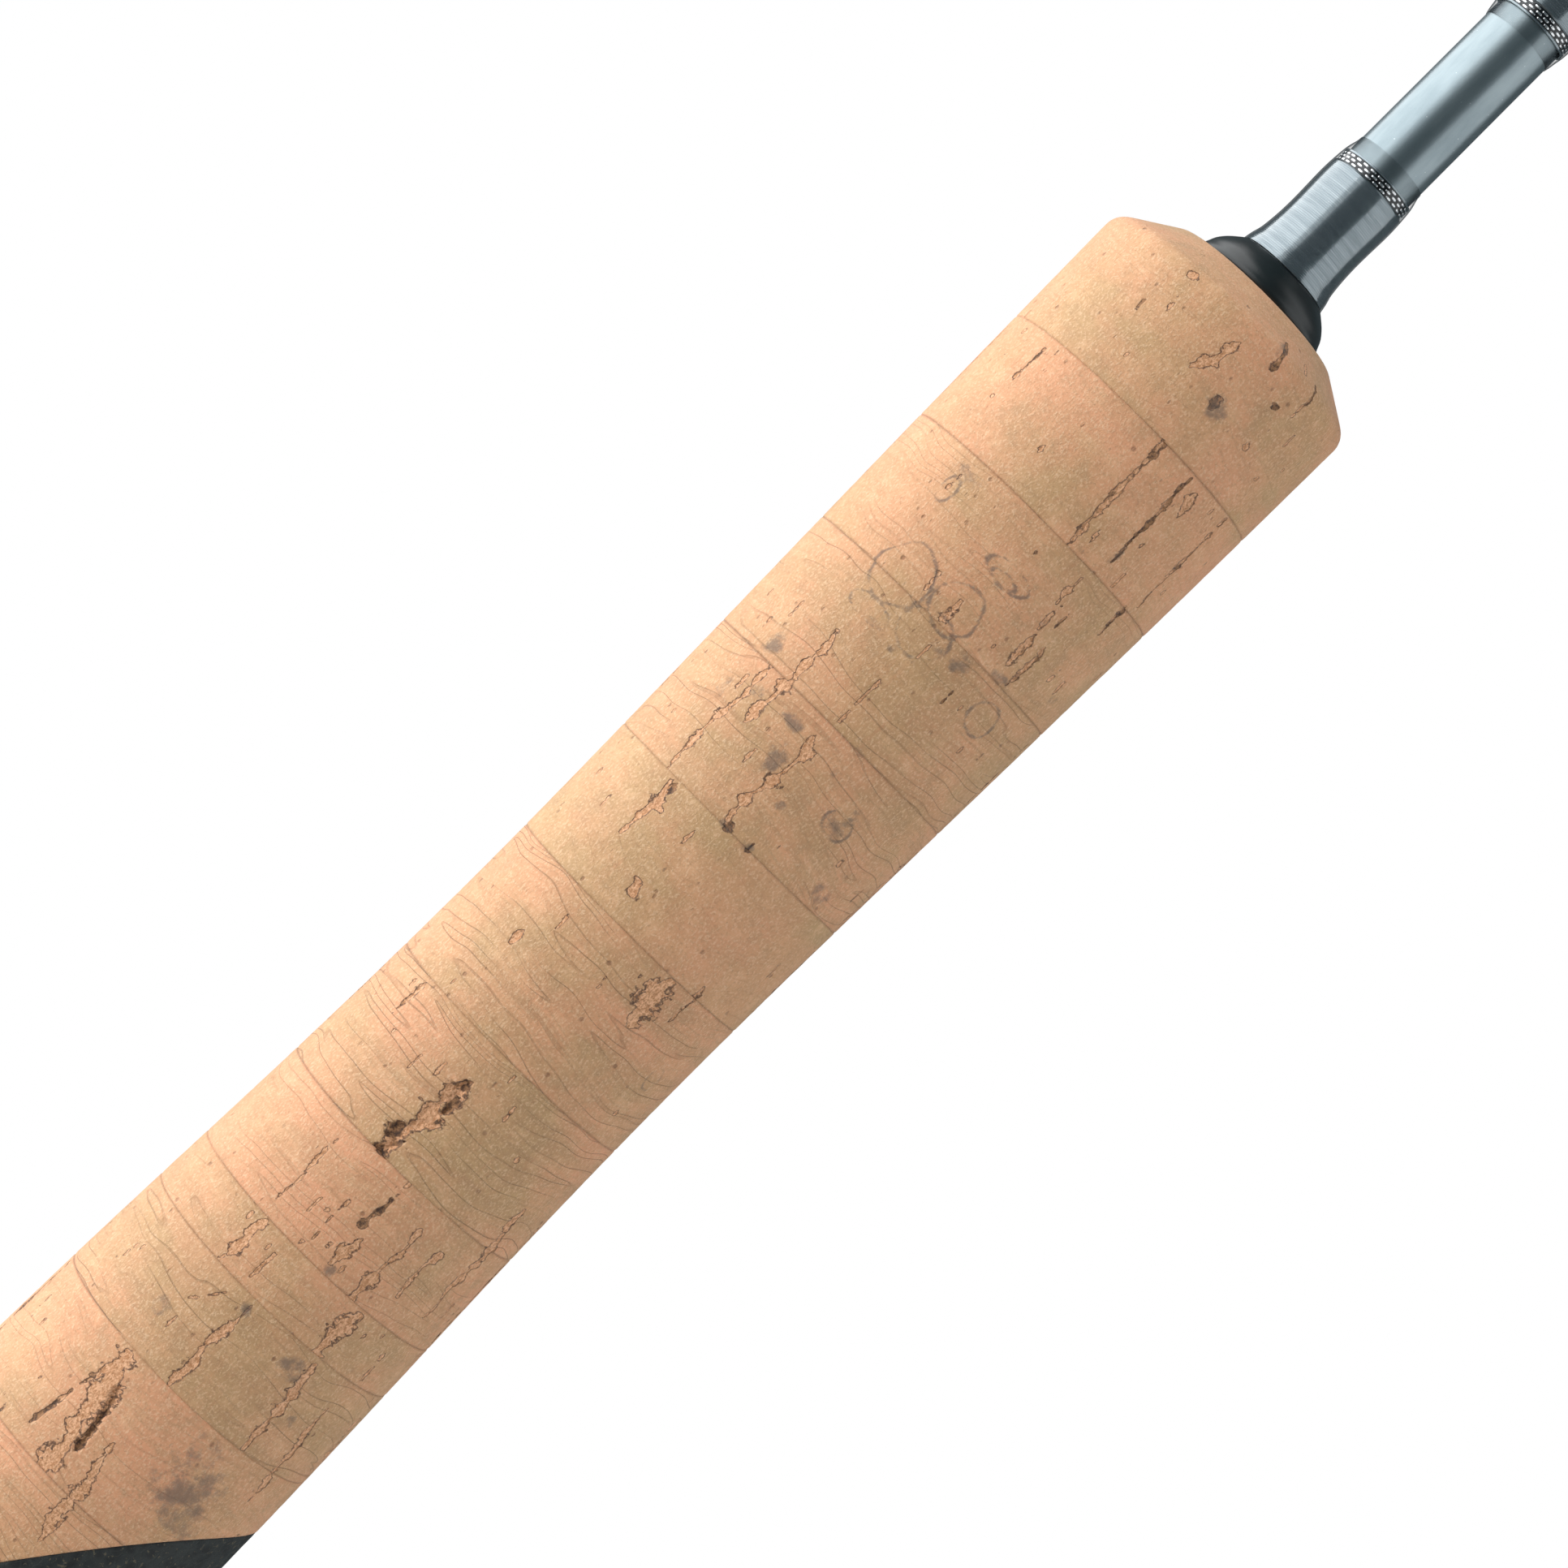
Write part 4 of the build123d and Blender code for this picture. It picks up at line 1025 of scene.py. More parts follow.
def natural_spline(xs: Array, ys: Array, at: Array) -> Array:
    """The smooth curve through some points: cubics whose slopes and bends are equal where they meet."""
    gap = np.diff(xs)
    slope = np.diff(ys) / gap
    system = np.eye(len(xs))
    inner = np.arange(1, len(xs) - 1)
    system[inner, inner - 1] = gap[:-1]
    system[inner, inner] = 2 * (gap[:-1] + gap[1:])
    system[inner, inner + 1] = gap[1:]
    bend = np.linalg.solve(system, np.concatenate([[0.0], 6 * np.diff(slope), [0.0]]))
    k = np.clip(np.searchsorted(xs, at) - 1, 0, len(gap) - 1)
    left, right, h = at - xs[k], xs[k + 1] - at, gap[k]
    curve = (bend[k] * right**3 + bend[k + 1] * left**3) / (6 * h)
    return curve + (ys[k] / h - bend[k] * h / 6) * right + (ys[k + 1] / h - bend[k + 1] * h / 6) * left


@dataclass(frozen=True)
class RingLook:
    """One cork ring: its thickness, its tint from olive to pink, and how strong its growth lines are."""

    thickness: float
    tint: float
    lines: float


@dataclass(frozen=True)
class Grip:
    """A grip that is turned from glued rings.

    Attributes:
        bore: Radius of its hole.
        columns: Points round it.
        pitch: Millimetres to a row.
        joint: How deep the ring's edges are worn.
    """

    bore: float = 5.0
    columns: int = 360
    pitch: float = 0.35
    joint: float = 0.05

    def ring(
        self,
        name: str,
        low: Array,
        high: Array,
        angle: Array,
        skin_radius: Callable[[Array], Array],
        front: float,
        look: RingLook,
        marks: Sequence[CorkMark],
        seed: int,
        nose: Array | None = None,
    ) -> Piece:
        """One cork ring between two ends, with its pores sunk into the mesh.

        The rows run along the skin from low to high, x = low + u (high - low), with the radius eased down
        next to the joints. A nose, a list of (x, radius), takes the place of the high end.

        Args:
            name: The piece's name.
            low: Its back end at each angle.
            high: Its front end at each angle.
            angle: The angles.
            skin_radius: The grip's radius at x.
            front: Where the grip's front face is.
            look: The ring's tint and growth lines.
            marks: The marks that may lie on it.
            seed: Picks its random pits.
            nose: The front end's own outline.

        Returns:
            The ring.
        """
        count = max(6, int(round((high - low).max() / self.pitch)))
        edge = 0.12
        share = np.linspace(0.0, 1.0, count + 1)
        x = low + share[:, None] * (high - low)
        radius = skin_radius(x)
        worn = self.joint * (1 - ease(0.0, edge, x - low))
        if nose is None:
            worn = worn + self.joint * (1 - ease(0.0, edge, high - x))
        else:
            x = np.concatenate([x, np.repeat(nose[:, :1], len(angle), axis=1)])
            radius = np.concatenate([radius, np.repeat(nose[:, 1:], len(angle), axis=1)])
            worn = np.concatenate([worn, np.zeros((len(nose), len(angle)))])
        skin = CorkSkin(x, angle, radius, front, seed)
        for number, item in enumerate(marks):
            skin.add(number, item)
        grain = Grain(seed, 0.5, 170).at(x, np.broadcast_to(angle, x.shape))
        worn = worn + 0.012 * grain
        fade = ease(self.bore + 1.0, self.bore + 3.0, radius)
        away = np.minimum(x - low, np.where(x > high - 1e-6, 9.0, high - x) if nose is not None else high - x)
        rows = [x, x[-1:], x[:1]]
        bores = [np.full_like(x[-1:], self.bore), np.full_like(x[:1], self.bore)]
        radii = [radius - worn - skin.depth * fade, *bores]
        points = wheel(np.concatenate(rows), np.concatenate(radii), angle)
        whole = angle[-1] - angle[0] > TURN * 0.99 - TURN / len(angle)
        piece = surface(name, points, Ends.LOOPED, whole)
        skin.store(piece, slice(0, len(x)), len(x) + 2, look.tint, look.lines, (seed * 0.377) % 1.0)
        mark(piece, "joint", np.concatenate([np.exp(-((away / 0.11) ** 2)), np.ones((2, len(angle)))]))
        if not whole:
            self.close_tips(piece)
        return piece

    @staticmethod
    def close_tips(piece: Piece) -> None:
        """Merges the two tips of a ring that tapers to nothing."""
        modifier = piece.modifiers.new("tips", "WELD")
        modifier.merge_threshold = 0.002 * MM

    @staticmethod
    def scattered(
        seed: int, back: float, thickness: float, first: float, last: float, count: int
    ) -> list[CorkMark]:
        """Pores at random places on one ring, between two angles in degrees, and small pits all round it."""
        rng = np.random.default_rng(seed)
        marks = []
        for _ in range(count):
            length = thickness * rng.choice([1.0, 0.8, 0.45, 0.3])
            where = back + rng.uniform(-0.5, 0.5) * (thickness - length)
            width = rng.choice([0.35, 0.5, 0.8, 1.5], p=[0.35, 0.3, 0.2, 0.15])
            pale = rng.choice([0.0, 0.6, 1.0], p=[0.45, 0.2, 0.35])
            turn = rng.uniform(first, last)
            marks.append(CorkMark(MarkKind.PORE, where, turn, length, width, pale, rng.uniform(-4, 4), 0.14))
        for _ in range(14):
            where = back + rng.uniform(-0.48, 0.48) * thickness
            size, turn = rng.choice([0.5, 0.8, 1.7]), rng.uniform(0, 360)
            marks.append(CorkMark(MarkKind.PORE, where, turn, size, rng.uniform(0.25, 0.5), 0.55, 0.0, 0.06))
        return marks


pore, loop, smudge = (partial(CorkMark, kind) for kind in MarkKind)


@dataclass(frozen=True)
class Foregrip(Grip):
    """The foregrip: cork rings with a black composite heel scarfed in behind them.

    Attributes:
        shape: The grip's profile: distance behind its front face, and radius there.
        chamfer: Length of the cone at its nose.
        face: Radius of the flat front face.
        scarf_nose: How far behind the front face the composite reaches, on the underside.
        scarf_depth: How much further back it starts on top.
        scarf_power: How the scarf's edge curves.
        scarf_reach: Half the height that the scarf's curve spans.
        rings: The rings from the front face back, as thick as they seem to the eye.
        marks: The natural marks that its sides show, where they seem to lie to the eye.
    """

    bore: float = 3.9
    columns: int = 470
    pitch: float = 0.205
    shape: tuple[tuple[float, float], ...] = (
        (3.3, 13.85), (23.0, 13.6), (56.6, 12.95), (81.7, 12.6), (106.9, 13.08), (123.7, 13.72),
        (140.0, 14.15), (185.0, 14.0),
    )
    chamfer: float = 3.3
    face: float = 8.9
    scarf_nose: float = 135.2
    scarf_depth: float = 40.0
    scarf_power: float = 1.4
    scarf_reach: float = 15.4
    rings: tuple[RingLook, ...] = (
        RingLook(14.0, 0.48, 0.25), RingLook(12.2, 0.66, 0.15), RingLook(12.6, 0.50, 0.45),
        RingLook(12.7, 0.42, 0.80), RingLook(12.7, 0.50, 0.85), RingLook(12.5, 0.12, 0.25),
        RingLook(15.0, 0.55, 0.95), RingLook(13.4, 0.42, 1.00), RingLook(10.8, 0.74, 0.55),
        RingLook(5.6, 0.52, 0.70), RingLook(10.5, 0.30, 1.00), RingLook(12.7, 0.70, 0.50),
        RingLook(12.7, 0.45, 0.70), RingLook(12.7, 0.60, 0.60), RingLook(14.9, 0.45, 0.80),
    )
    marks: tuple[CorkMark, ...] = (
        smudge(1.2, 20, 2.0, 1.2, 0.4), pore(1.8, 22, 3.0, 0.7), pore(2.4, 43, 2.2, 0.5),
        pore(2.2, -24, 0.8, 1.6, 0.3), pore(5.2, 33, 0.7, 0.6), pore(5.6, 4, 4.4, 1.3, 0.55, 6.0),
        pore(7.2, -30, 1.2, 0.5), pore(8.6, 17, 1.6, 1.5, 0.1), smudge(8.8, 17, 2.4, 2.6),
        pore(14.9, 12.3, 2.2, 0.7), pore(16.5, 37, 2.6, 0.9, 0.3), pore(17.4, -47, 5.0, 0.5, 0.2),
        pore(19.8, 57, 11.6, 0.55, 0.3), pore(19.8, 30.5, 11.8, 0.62, 0.05, -1.5),
        pore(20.2, 13.4, 12.0, 0.75, 0.35, -2.0), smudge(24.3, 31, 2.6, 1.0), pore(28.0, 52, 3.4, 0.7, 0.2),
        smudge(28.0, -30, 1.6, 4.0, 0.35), pore(29.0, 28, 3.4, 0.6, 0.6), pore(29.2, -33, 2.0, 0.5, 0.4),
        loop(29.9, -33, 2.6, 1.6), pore(31.2, 34, 2.0, 0.5, 0.3), loop(31.7, 7.5, 2.1, 4.6),
        loop(32.2, 7.0, 0.9, 2.5), smudge(32.3, 29, 1.3, 1.3, 0.3), pore(33.5, 30, 6.4, 0.5, 0.45),
        pore(35.5, 31, 3.6, 0.8, 0.4), smudge(36.4, 63, 2.0, 1.4, 0.2), pore(36.2, 38, 4.6, 0.8, 0.2),
        pore(36.6, -12.6, 2.2, 1.3, 0.7), loop(36.9, 2.5, 4.6, 4.6), pore(37.2, 1.3, 2.6, 1.7, 0.75),
        loop(38.1, -21.5, 5.9, 5.2), smudge(38.5, 36, 1.2, 3.0, 0.2), smudge(39.8, 18, 2.2, 2.0, 0.15),
        loop(40.3, 0.5, 4.2, 4.6), smudge(40.3, 8, 0.9, 2.2, 0.3), loop(42.1, 42, 3.2, 3.3, 0.2),
        loop(42.1, -21.0, 2.0, 4.6, 0.3), pore(42.6, 24, 1.8, 0.5), smudge(42.6, -15, 0.8, 2.4, 0.25),
        smudge(43.1, -4.7, 1.0, 1.0), pore(48.1, 1, 5.8, 0.5, 0.5), smudge(50.0, -40, 2.4, 2.0, 0.2),
        pore(51.0, -23.3, 11.2, 1.5, 0.92, 1), smudge(51.3, 15, 1.4, 1.4, 0.35),
        smudge(53.6, -11, 1.4, 2.6, 0.1), smudge(54.0, -30, 1.3, 1.7, 0.15),
        smudge(54.3, 13.6, 1.3, 0.9, 0.3), pore(54.8, -35, 18.8, 1.1, 0.8, 2),
        smudge(55.0, 31, 1.5, 1.2, 0.25), smudge(55.7, -43.6, 2.2, 1.4, 0.1), smudge(56.4, 34, 1.6, 2.0, 0.2),
        smudge(56.9, -6, 3.2, 2.0), loop(57.3, 29.7, 2.4, 3.2), smudge(57.3, 29.7, 2.6, 3.4, 0.35),
        pore(58.6, -1.5, 11.2, 1.3, 0.62, 2), smudge(59.4, 8, 1.2, 1.0, 0.3),
        smudge(62.5, 48, 2.2, 2.8, 0.25), pore(64.0, -1, 0.9, 1.3), pore(64.0, 10.2, 0.9, 1.1),
        smudge(64.0, -1, 1.1, 1.8), smudge(64.0, 10.2, 1.1, 1.6), pore(65.2, -27, 1.2, 0.7, 0.1),
        pore(67.8, -29, 6.4, 1.4, 0.8), pore(73.4, -9, 1.8, 1.6, 0.5), pore(77.0, 41, 5.0, 0.5, 0.2),
        pore(79.5, 27, 5.6, 2.4, 0.9), pore(83.5, -30, 2.0, 0.8, 0.3), loop(84.0, 58, 2.4, 1.8, 0.3),
        pore(93.8, -46, 4.0, 0.9, 0.2), pore(97.2, -1, 3.6, 1.6, 0.0, 0.0, 0.45),
        pore(100.3, -4, 9.0, 2.5, 0.55, 3.0, 0.45), pore(103.6, -7, 3.4, 2.0, 0.0, 0.0, 0.45),
        pore(106.0, 58, 12.6, 1.1, 0.8), pore(109.0, 9.0, 3.8, 0.9), pore(110.5, -22, 8.0, 0.5, 0.5),
        pore(110.2, 39, 5.4, 1.8, 0.95), pore(111.8, 26, 8.8, 1.3, 0.75), pore(112.0, -2, 5.0, 0.4, 0.4),
        pore(113.2, 10.6, 3.6, 1.1, 0.7), smudge(115.3, 11, 1.4, 1.2), pore(118.6, -20, 5.2, 1.4, 0.8),
        pore(118.8, 31, 5.4, 2.2, 1.0), pore(119.0, -8, 3.0, 0.5, 0.4), smudge(123.0, 0, 2.0, 1.6),
        smudge(123.6, 27, 2.4, 3.0, 0.1), pore(124.2, -14, 2.6, 0.5, 0.2, 8.0),
        pore(126.6, 35, 9.8, 1.2, 0.75, -3.0), smudge(126.6, 43, 1.6, 1.4, 0.1),
        pore(127.3, -0.5, 10.0, 0.95, 0.45), smudge(127.6, -24, 2.2, 2.0, 0.2),
        pore(129.0, 55, 10.6, 0.9, 0.55, -4.0), smudge(133.4, 24, 3.0, 5.0, 0.35),
        smudge(137.0, 31, 7.6, 7.0), pore(137.8, -24, 9.6, 0.6, 0.1, 7.0),
        pore(138.2, -11, 6.6, 1.1, 0.0, -6.0, 0.4), pore(138.6, -15, 12.4, 2.9, 1.0, -9.0, 0.3),
        smudge(139.6, 38, 3.4, 5.0, 0.25), pore(144.0, 3, 10.4, 1.4, 0.9, -4.0),
    )

    def ring_looks(self) -> list[RingLook]:
        """The rings at their real thickness: seen size * (1 - r / D), and what is left for the last."""
        shrink = 1 - RING_RADIUS / EYE_DISTANCE
        thick = [round(look.thickness * shrink, 1) for look in self.rings]
        thick[0] = round(EYE_BACK + (self.rings[0].thickness - EYE_BACK) * shrink, 1)
        thick[-1] = round(self.span.end - self.span.start - sum(thick[:-1]), 1)
        return [replace(look, thickness=size) for look, size in zip(self.rings, thick)]

    @property
    def span(self) -> Span:
        """From the composite's heel to the front face."""
        return Span(Span.of("foregrip_composite").start, Span.of("foregrip_cork_rings").end)

    def radius(self, x: Array) -> Array:
        """The grip's radius at x."""
        behind, radii = np.array(self.shape).T
        return natural_spline(behind, radii, self.span.end - np.asarray(x, float))

    def scarf(self, angle: Array) -> Array:
        """The scarf's edge: x = nose - depth * s^power, where s rises from the underside to the top."""
        height = -self.radius(self.span.start + 20.0) * np.sin(angle)
        share = np.clip((1 + height / self.scarf_reach) / 2, 0.0, 1.0)
        return self.span.end - self.scarf_nose - self.scarf_depth * share**self.scarf_power

    def build(self) -> None:
        """Makes the cork rings and the composite heel."""
        front = self.span.end
        nose = rounded(
            [
                (front - 12.0, self.radius(front - 12.0)), (front - self.chamfer, self.shape[0][1]),
                (front - 0.05, self.face), (front, self.face - 1.4), (front, self.bore),
                (front - 12.0, self.bore),
            ],
            [0.0, 1.1, 0.4, 0.25, 0.2, 0.2],
            9,
        )
        kept = (nose[:, 0] > front - self.chamfer - 1.4) & (nose[:, 1] > self.bore + 1.6)
        nose = filled(nose[kept], self.pitch)
        back = 0.0
        settled = [mark.settled() for mark in self.marks]
        for number, look in enumerate(self.ring_looks()):
            low, high = front - back - look.thickness, front - back
            angle = angles(self.columns)
            hidden = self.scarf(angle) >= high
            if hidden.any():
                spare = math.acos(np.clip(self.lowest_share(high), -1, 1))
                angle = math.pi / 2 + np.linspace(spare + 1e-4, TURN - spare - 1e-4, self.columns)
            edge = np.clip(self.scarf(angle), low, high)
            top = front - self.chamfer - 1.5 if number == 0 else high
            marks = [m for m in settled if back - 2.0 < m.back < back + look.thickness + 2.0]
            middle = back + look.thickness / 2
            marks += self.scattered(number + 40, middle, look.thickness, 78.0, 282.0, 8)
            piece = self.ring(
                f"foregrip_cork_{number + 1:02d}", edge, np.full_like(angle, top), angle, self.radius, front,
                look, marks, number + 3, nose if number == 0 else None,
            )
            place(piece, Cork(), "butt_section", "foregrip_cork_rings")
            back += look.thickness
        self.build_heel()

    def lowest_share(self, x: float) -> float:
        """The cosine of the angle from the underside at which the scarf's edge passes x."""
        share = ((self.span.end - self.scarf_nose - x) / self.scarf_depth) ** (1 / self.scarf_power)
        return -(2 * share - 1) * self.scarf_reach / self.radius(self.span.start + 20.0)

    def build_heel(self) -> None:
        """Makes the composite heel: rows run from its square back end to the scarf's edge."""
        angle = angles(360)
        low, high = self.span.start, self.scarf(angle) - 0.03
        share = np.concatenate([[0.0, 0.003, 0.008, 0.018], np.linspace(0.04, 0.96, 96), [0.99, 0.996, 1.0]])
        x = low + share[:, None] * (high - low)
        drop = np.zeros(len(share))
        drop[:4] = (0.7, 0.28, 0.08, 0.0)
        drop[-2:] = (0.02, 0.07)
        crumb = Grain(5, 0.7, 130).at(x, np.broadcast_to(angle, x.shape))
        radius = self.radius(x) - drop[:, None] - 0.015 * (1 + crumb)
        x = np.concatenate([x, x[-1:], x[:1]])
        radius = np.concatenate([radius, np.full((2, len(angle)), self.bore)])
        heel = surface("foregrip_composite_heel", wheel(x, radius, angle))
        place(heel, RubberCork(), "butt_section", "foregrip_composite")


@dataclass(frozen=True)
class RearGrip(Grip):
    """The rear grip: cork rings between two composite ones, and the cap behind them.

    Attributes:
        bore: Radius of its hole.
        shape: The profile: share of the length from the cap, and radius there.
        ring_count: Rings in all.
        cap_radius: The cap's radius.
        cap_edge: The cap's rounding.
    """

    bore: float = 5.2
    columns: int = 264
    pitch: float = 0.46
    shape: tuple[tuple[float, float], ...] = ((0.0, 14.4), (0.14, 13.9), (0.55, 12.3), (1.0, 13.0))
    ring_count: int = 19
    cap_radius: float = 15.0
    cap_edge: float = 2.2

    def radius(self, x: Array) -> Array:
        """The grip's radius at x."""
        start, end = Span.of("butt_cap").end, Span.of("rear_grip_composite_rings").end
        share, radii = np.array(self.shape).T
        return natural_spline(share, radii, (np.asarray(x, float) - start) / (end - start))

    def build(self) -> None:
        """Makes the cap, the composite rings and the cork rings."""
        start, end = Span.of("butt_cap").end, Span.of("rear_grip_composite_rings").end
        thickness = (end - start) / self.ring_count
        rng = np.random.default_rng(12)
        for number in range(self.ring_count):
            low = start + number * thickness
            if number in (0, self.ring_count - 1):
                x = np.linspace(low + 0.06, low + thickness - 0.03, 24)
                skin = np.stack([x, self.radius(x)], axis=1)
                skin[[0, -1], 1] -= 0.1
                outline = np.concatenate([skin, [[x[-1], self.bore], [x[0], self.bore]]])
                piece = lathe(f"rear_grip_composite_{number + 1:02d}", outline, 160)
                place(piece, RubberCork(), "butt_section", "rear_grip_composite_rings")
                continue
            angle = angles(self.columns)
            flat = np.zeros_like(angle)
            look = RingLook(thickness, rng.uniform(0.15, 0.75), rng.uniform(0.3, 1.0))
            marks = self.scattered(number + 70, end - low - thickness / 2, thickness, 0.0, 360.0, 11)
            piece = self.ring(
                f"rear_grip_cork_{number:02d}", flat + low, flat + low + thickness, angle, self.radius, end,
                look,
                marks, number + 21,
            )
            place(piece, Cork(), "butt_section", "rear_grip_cork_rings")
        self.build_cap()

    def build_cap(self) -> None:
        """Makes the rubber cap, with three grooves round it and a dished end."""
        cap = Span.of("butt_cap")
        r, end = self.cap_radius, cap.end
        outline = [(0.9, 0.7), (0.9, 8.6), (0.0, 9.6), (0.0, r - 0.2), (1.4, r)]
        for x in (5.0, 7.5, 10.0):
            outline += [(x, r), (x + 0.3, r - 0.55), (x + 0.9, r - 0.55), (x + 1.2, r)]
        outline += [(end - 2.0, r), (end, 14.45), (end, 11.0), (end - 6.0, 11.0), (end - 6.0, 0.7)]
        reach = [0.1, 0.5, 0.4, self.cap_edge, 0.1] + [0.22] * 12 + [1.0, 0.4, 0.2, 0.2, 0.1]
        piece = lathe("butt_cap_moulding", rounded(outline, reach), 120, Ends.CAPPED)
        place(piece, CAP_RUBBER, "butt_section", "butt_cap")


# ---- trim, reel seat and check ---------------------------------------------------------------------------


@dataclass(frozen=True)
class TrimRing:
    """A turned metal ring with a groove round its middle."""

    node: str
    radius: float = 13.6

    def build(self) -> None:
        """Makes the ring."""
        span, r = Span.of(self.node), self.radius
        mid, bore = span.middle, 5.0
        outline = [
            (span.start, bore), (span.start, r), (mid - 0.35, r), (mid - 0.2, r - 0.3), (mid + 0.2, r - 0.3),
            (mid + 0.35, r), (span.end, r), (span.end, bore),
        ]
        profile = rounded(outline, [0.1, 0.7, 0.08, 0.08, 0.08, 0.08, 0.7, 0.1])
        piece = lathe(f"{self.node}_turned", profile, 160)
        place(piece, TRIM_METAL, "butt_section", self.node)


@dataclass(frozen=True)
class ReelSeat:
    """The reel seat: a threaded barrel with a fixed hood in front, and a moving hood and a lock nut behind.

    Attributes:
        radius: The barrel's radius.
        bore: Its bore.
        flange: Radius of the flanges at its ends.
        flange_length: Length of the rear one.
        bed: How far below the axis the flat for the reel's foot lies.
        key: Width of the keyway on top.
        key_depth: Its depth.
        pitch: The thread's pitch.
        depth: The thread's depth.
        thread: The thread's length.
        hood: The hoods' radius.
        lobe: Radius of the lobe over the reel's foot.
        lobe_drop: How far below the axis the lobe's centre is.
        wall: The hoods' wall.
        sleeve: Bore of the moving parts.
        pocket: How deep the pockets are.
        nut: The lock nut's radius.
        flutes: Flutes round the nut.
        flute: A flute's radius.
    """

    radius: float = 11.0
    bore: float = 7.6
    flange: float = 12.9
    flange_length: float = 4.0
    bed: float = 9.6
    key: float = 3.2
    key_depth: float = 1.0
    pitch: float = 2.0
    depth: float = 0.8
    thread: float = 42.0
    hood: float = 12.6
    lobe: float = 10.6
    lobe_drop: float = 6.0
    wall: float = 1.6
    sleeve: float = 11.3
    pocket: float = 12.0
    nut: float = 14.0
    flutes: int = 22
    flute: float = 1.3

    def build(self) -> None:
        """Makes the barrel, both hoods with their covers, and the nut with its band."""
        self.build_barrel()
        fixed, moving = Span.of("fixed_hood_cover"), Span.of("moving_hood")
        seat_end = Span.of("reel_seat_body").end
        hood_end = seat_end - self.flange_length / 2
        hood = self.shell("fixed_hood", fixed.start, hood_end, -1)
        place(hood, BLACK_SEAT, "butt_section", "reel_seat_body")
        slider = self.shell("sliding_hood", moving.start, moving.end, 1)
        place(slider, BLACK_SEAT, "moving_hood", "moving_hood")
        covers = (("fixed_hood_cover", "butt_section", -1), ("moving_hood_cover", "moving_hood", 1))
        for name, body, mouth in covers:
            place(self.cover(f"{name}_shell", Span.of(name), mouth), DARK_STEEL, body, name)
        self.build_nut()
        arbors = bpy.data.objects["seat_arbors"]
        arbors.data.materials.clear()
        arbors.data.materials.append(SEAT_FOAM.material())

    def build_barrel(self) -> None:
        """Makes the barrel: r = min(turned radius, bed / sin(angle)), less the thread and the keyway."""
        seat, angle = Span.of("reel_seat_body"), angles(224)
        start, end = seat.start + self.flange_length, seat.end - self.flange_length / 2
        hood = Span.of("fixed_hood_cover").start
        outline = filled(
            np.array(
                [
                    (seat.start, self.bore), (seat.start, self.flange - 0.5),
                    (seat.start + 0.15, self.flange - 0.15), (seat.start + 0.5, self.flange),
                    (start - 0.5, self.flange), (start - 0.15, self.flange - 0.15),
                    (start, self.flange - 0.5), (start, self.radius + 0.02), (start + 0.02, self.radius),
                    (start + self.thread, self.radius),
                ]
            ),
            0.2,
        )
        rest = np.array(
            [
                (hood - 0.02, self.radius), (hood, self.radius - self.depth), (end, self.radius - self.depth),
                (end, self.flange - 0.5), (end + 0.15, self.flange - 0.15), (end + 0.5, self.flange),
                (seat.end - 0.5, self.flange), (seat.end - 0.15, self.flange - 0.15),
                (seat.end, self.flange - 0.5),
                (seat.end, self.bore),
            ]
        )
        x, radius = np.concatenate([outline, rest]).T
        grid = np.repeat(radius[:, None], len(angle), axis=1)
        inside = ((x > start + 0.01) & (x < hood - 0.01))[:, None]
        turn = x[:, None] / self.pitch - angle / TURN
        wave = 0.5 + 0.5 * np.cos(TURN * turn)
        fade = ease(start, start + 1.2, x) * (1 - ease(start + self.thread - 2.5, start + self.thread, x))
        grid = grid - inside * ease(0.30, 0.72, wave) * self.depth * fade[:, None]
        sine = np.sin(angle)
        flat = np.where(sine > 0.2, self.bed / np.maximum(sine, 0.2), 99.0)
        keyway = (sine < 0) & (np.abs(grid * np.cos(angle)) < self.key / 2)
        cut = np.minimum(np.minimum(grid, flat), np.where(keyway, self.radius - self.key_depth, 99.0))
        barrel = surface("reel_seat_barrel", wheel(x, np.where(inside, cut, grid), angle))
        place(barrel, BLACK_SEAT, "butt_section", "reel_seat_body")

    def hood_radius(self, angle: Array, grown: float) -> Array:
        """A round sleeve or its lobe, whichever stands out more: r = d s + sqrt(b^2 - d^2 (1 - s^2))."""
        sine = np.sin(angle)
        off_side = self.lobe_drop * np.cos(angle)
        lobe = self.lobe_drop * sine + np.sqrt((self.lobe + grown) ** 2 - off_side**2)
        sleeve = self.hood + grown
        return 0.5 * (lobe + sleeve + np.sqrt((lobe - sleeve) ** 2 + 0.25))

    def shell(self, name: str, start: float, end: float, mouth: int) -> Piece:
        """A hood from start to end, with its pocket open at the end that the mouth points to."""
        angle = angles(192)
        outer = self.hood_radius(angle, 0.0)
        sine = np.sin(angle)
        inner_lobe = self.lobe - self.wall
        pocket = self.lobe_drop * sine + np.sqrt(inner_lobe**2 - (self.lobe_drop * np.cos(angle)) ** 2)
        pocket = np.maximum(pocket, self.sleeve)
        plain = np.full_like(angle, self.sleeve)
        drops = ((0.0, 0.6), (0.12, 0.28), (0.35, 0.08), (0.8, 0.0), (1.6, 0.0))
        skin = [(start + x, outer - d) for x, d in drops] + [(end - x, outer - d) for x, d in reversed(drops)]
        middle = np.linspace(start + 2.0, end - 2.0, 12)
        skin = skin[:5] + [(x, outer) for x in middle] + skin[5:]
        bottom = end - self.pocket if mouth > 0 else start + self.pocket
        back, front = (plain, pocket) if mouth > 0 else (pocket, plain)
        hole = [(end, front), (bottom + 0.01, front), (bottom - 0.01, back), (start, back)]
        rows = skin + hole
        return surface(name, wheel(np.array([x for x, _ in rows]), np.stack([r for _, r in rows]), angle))

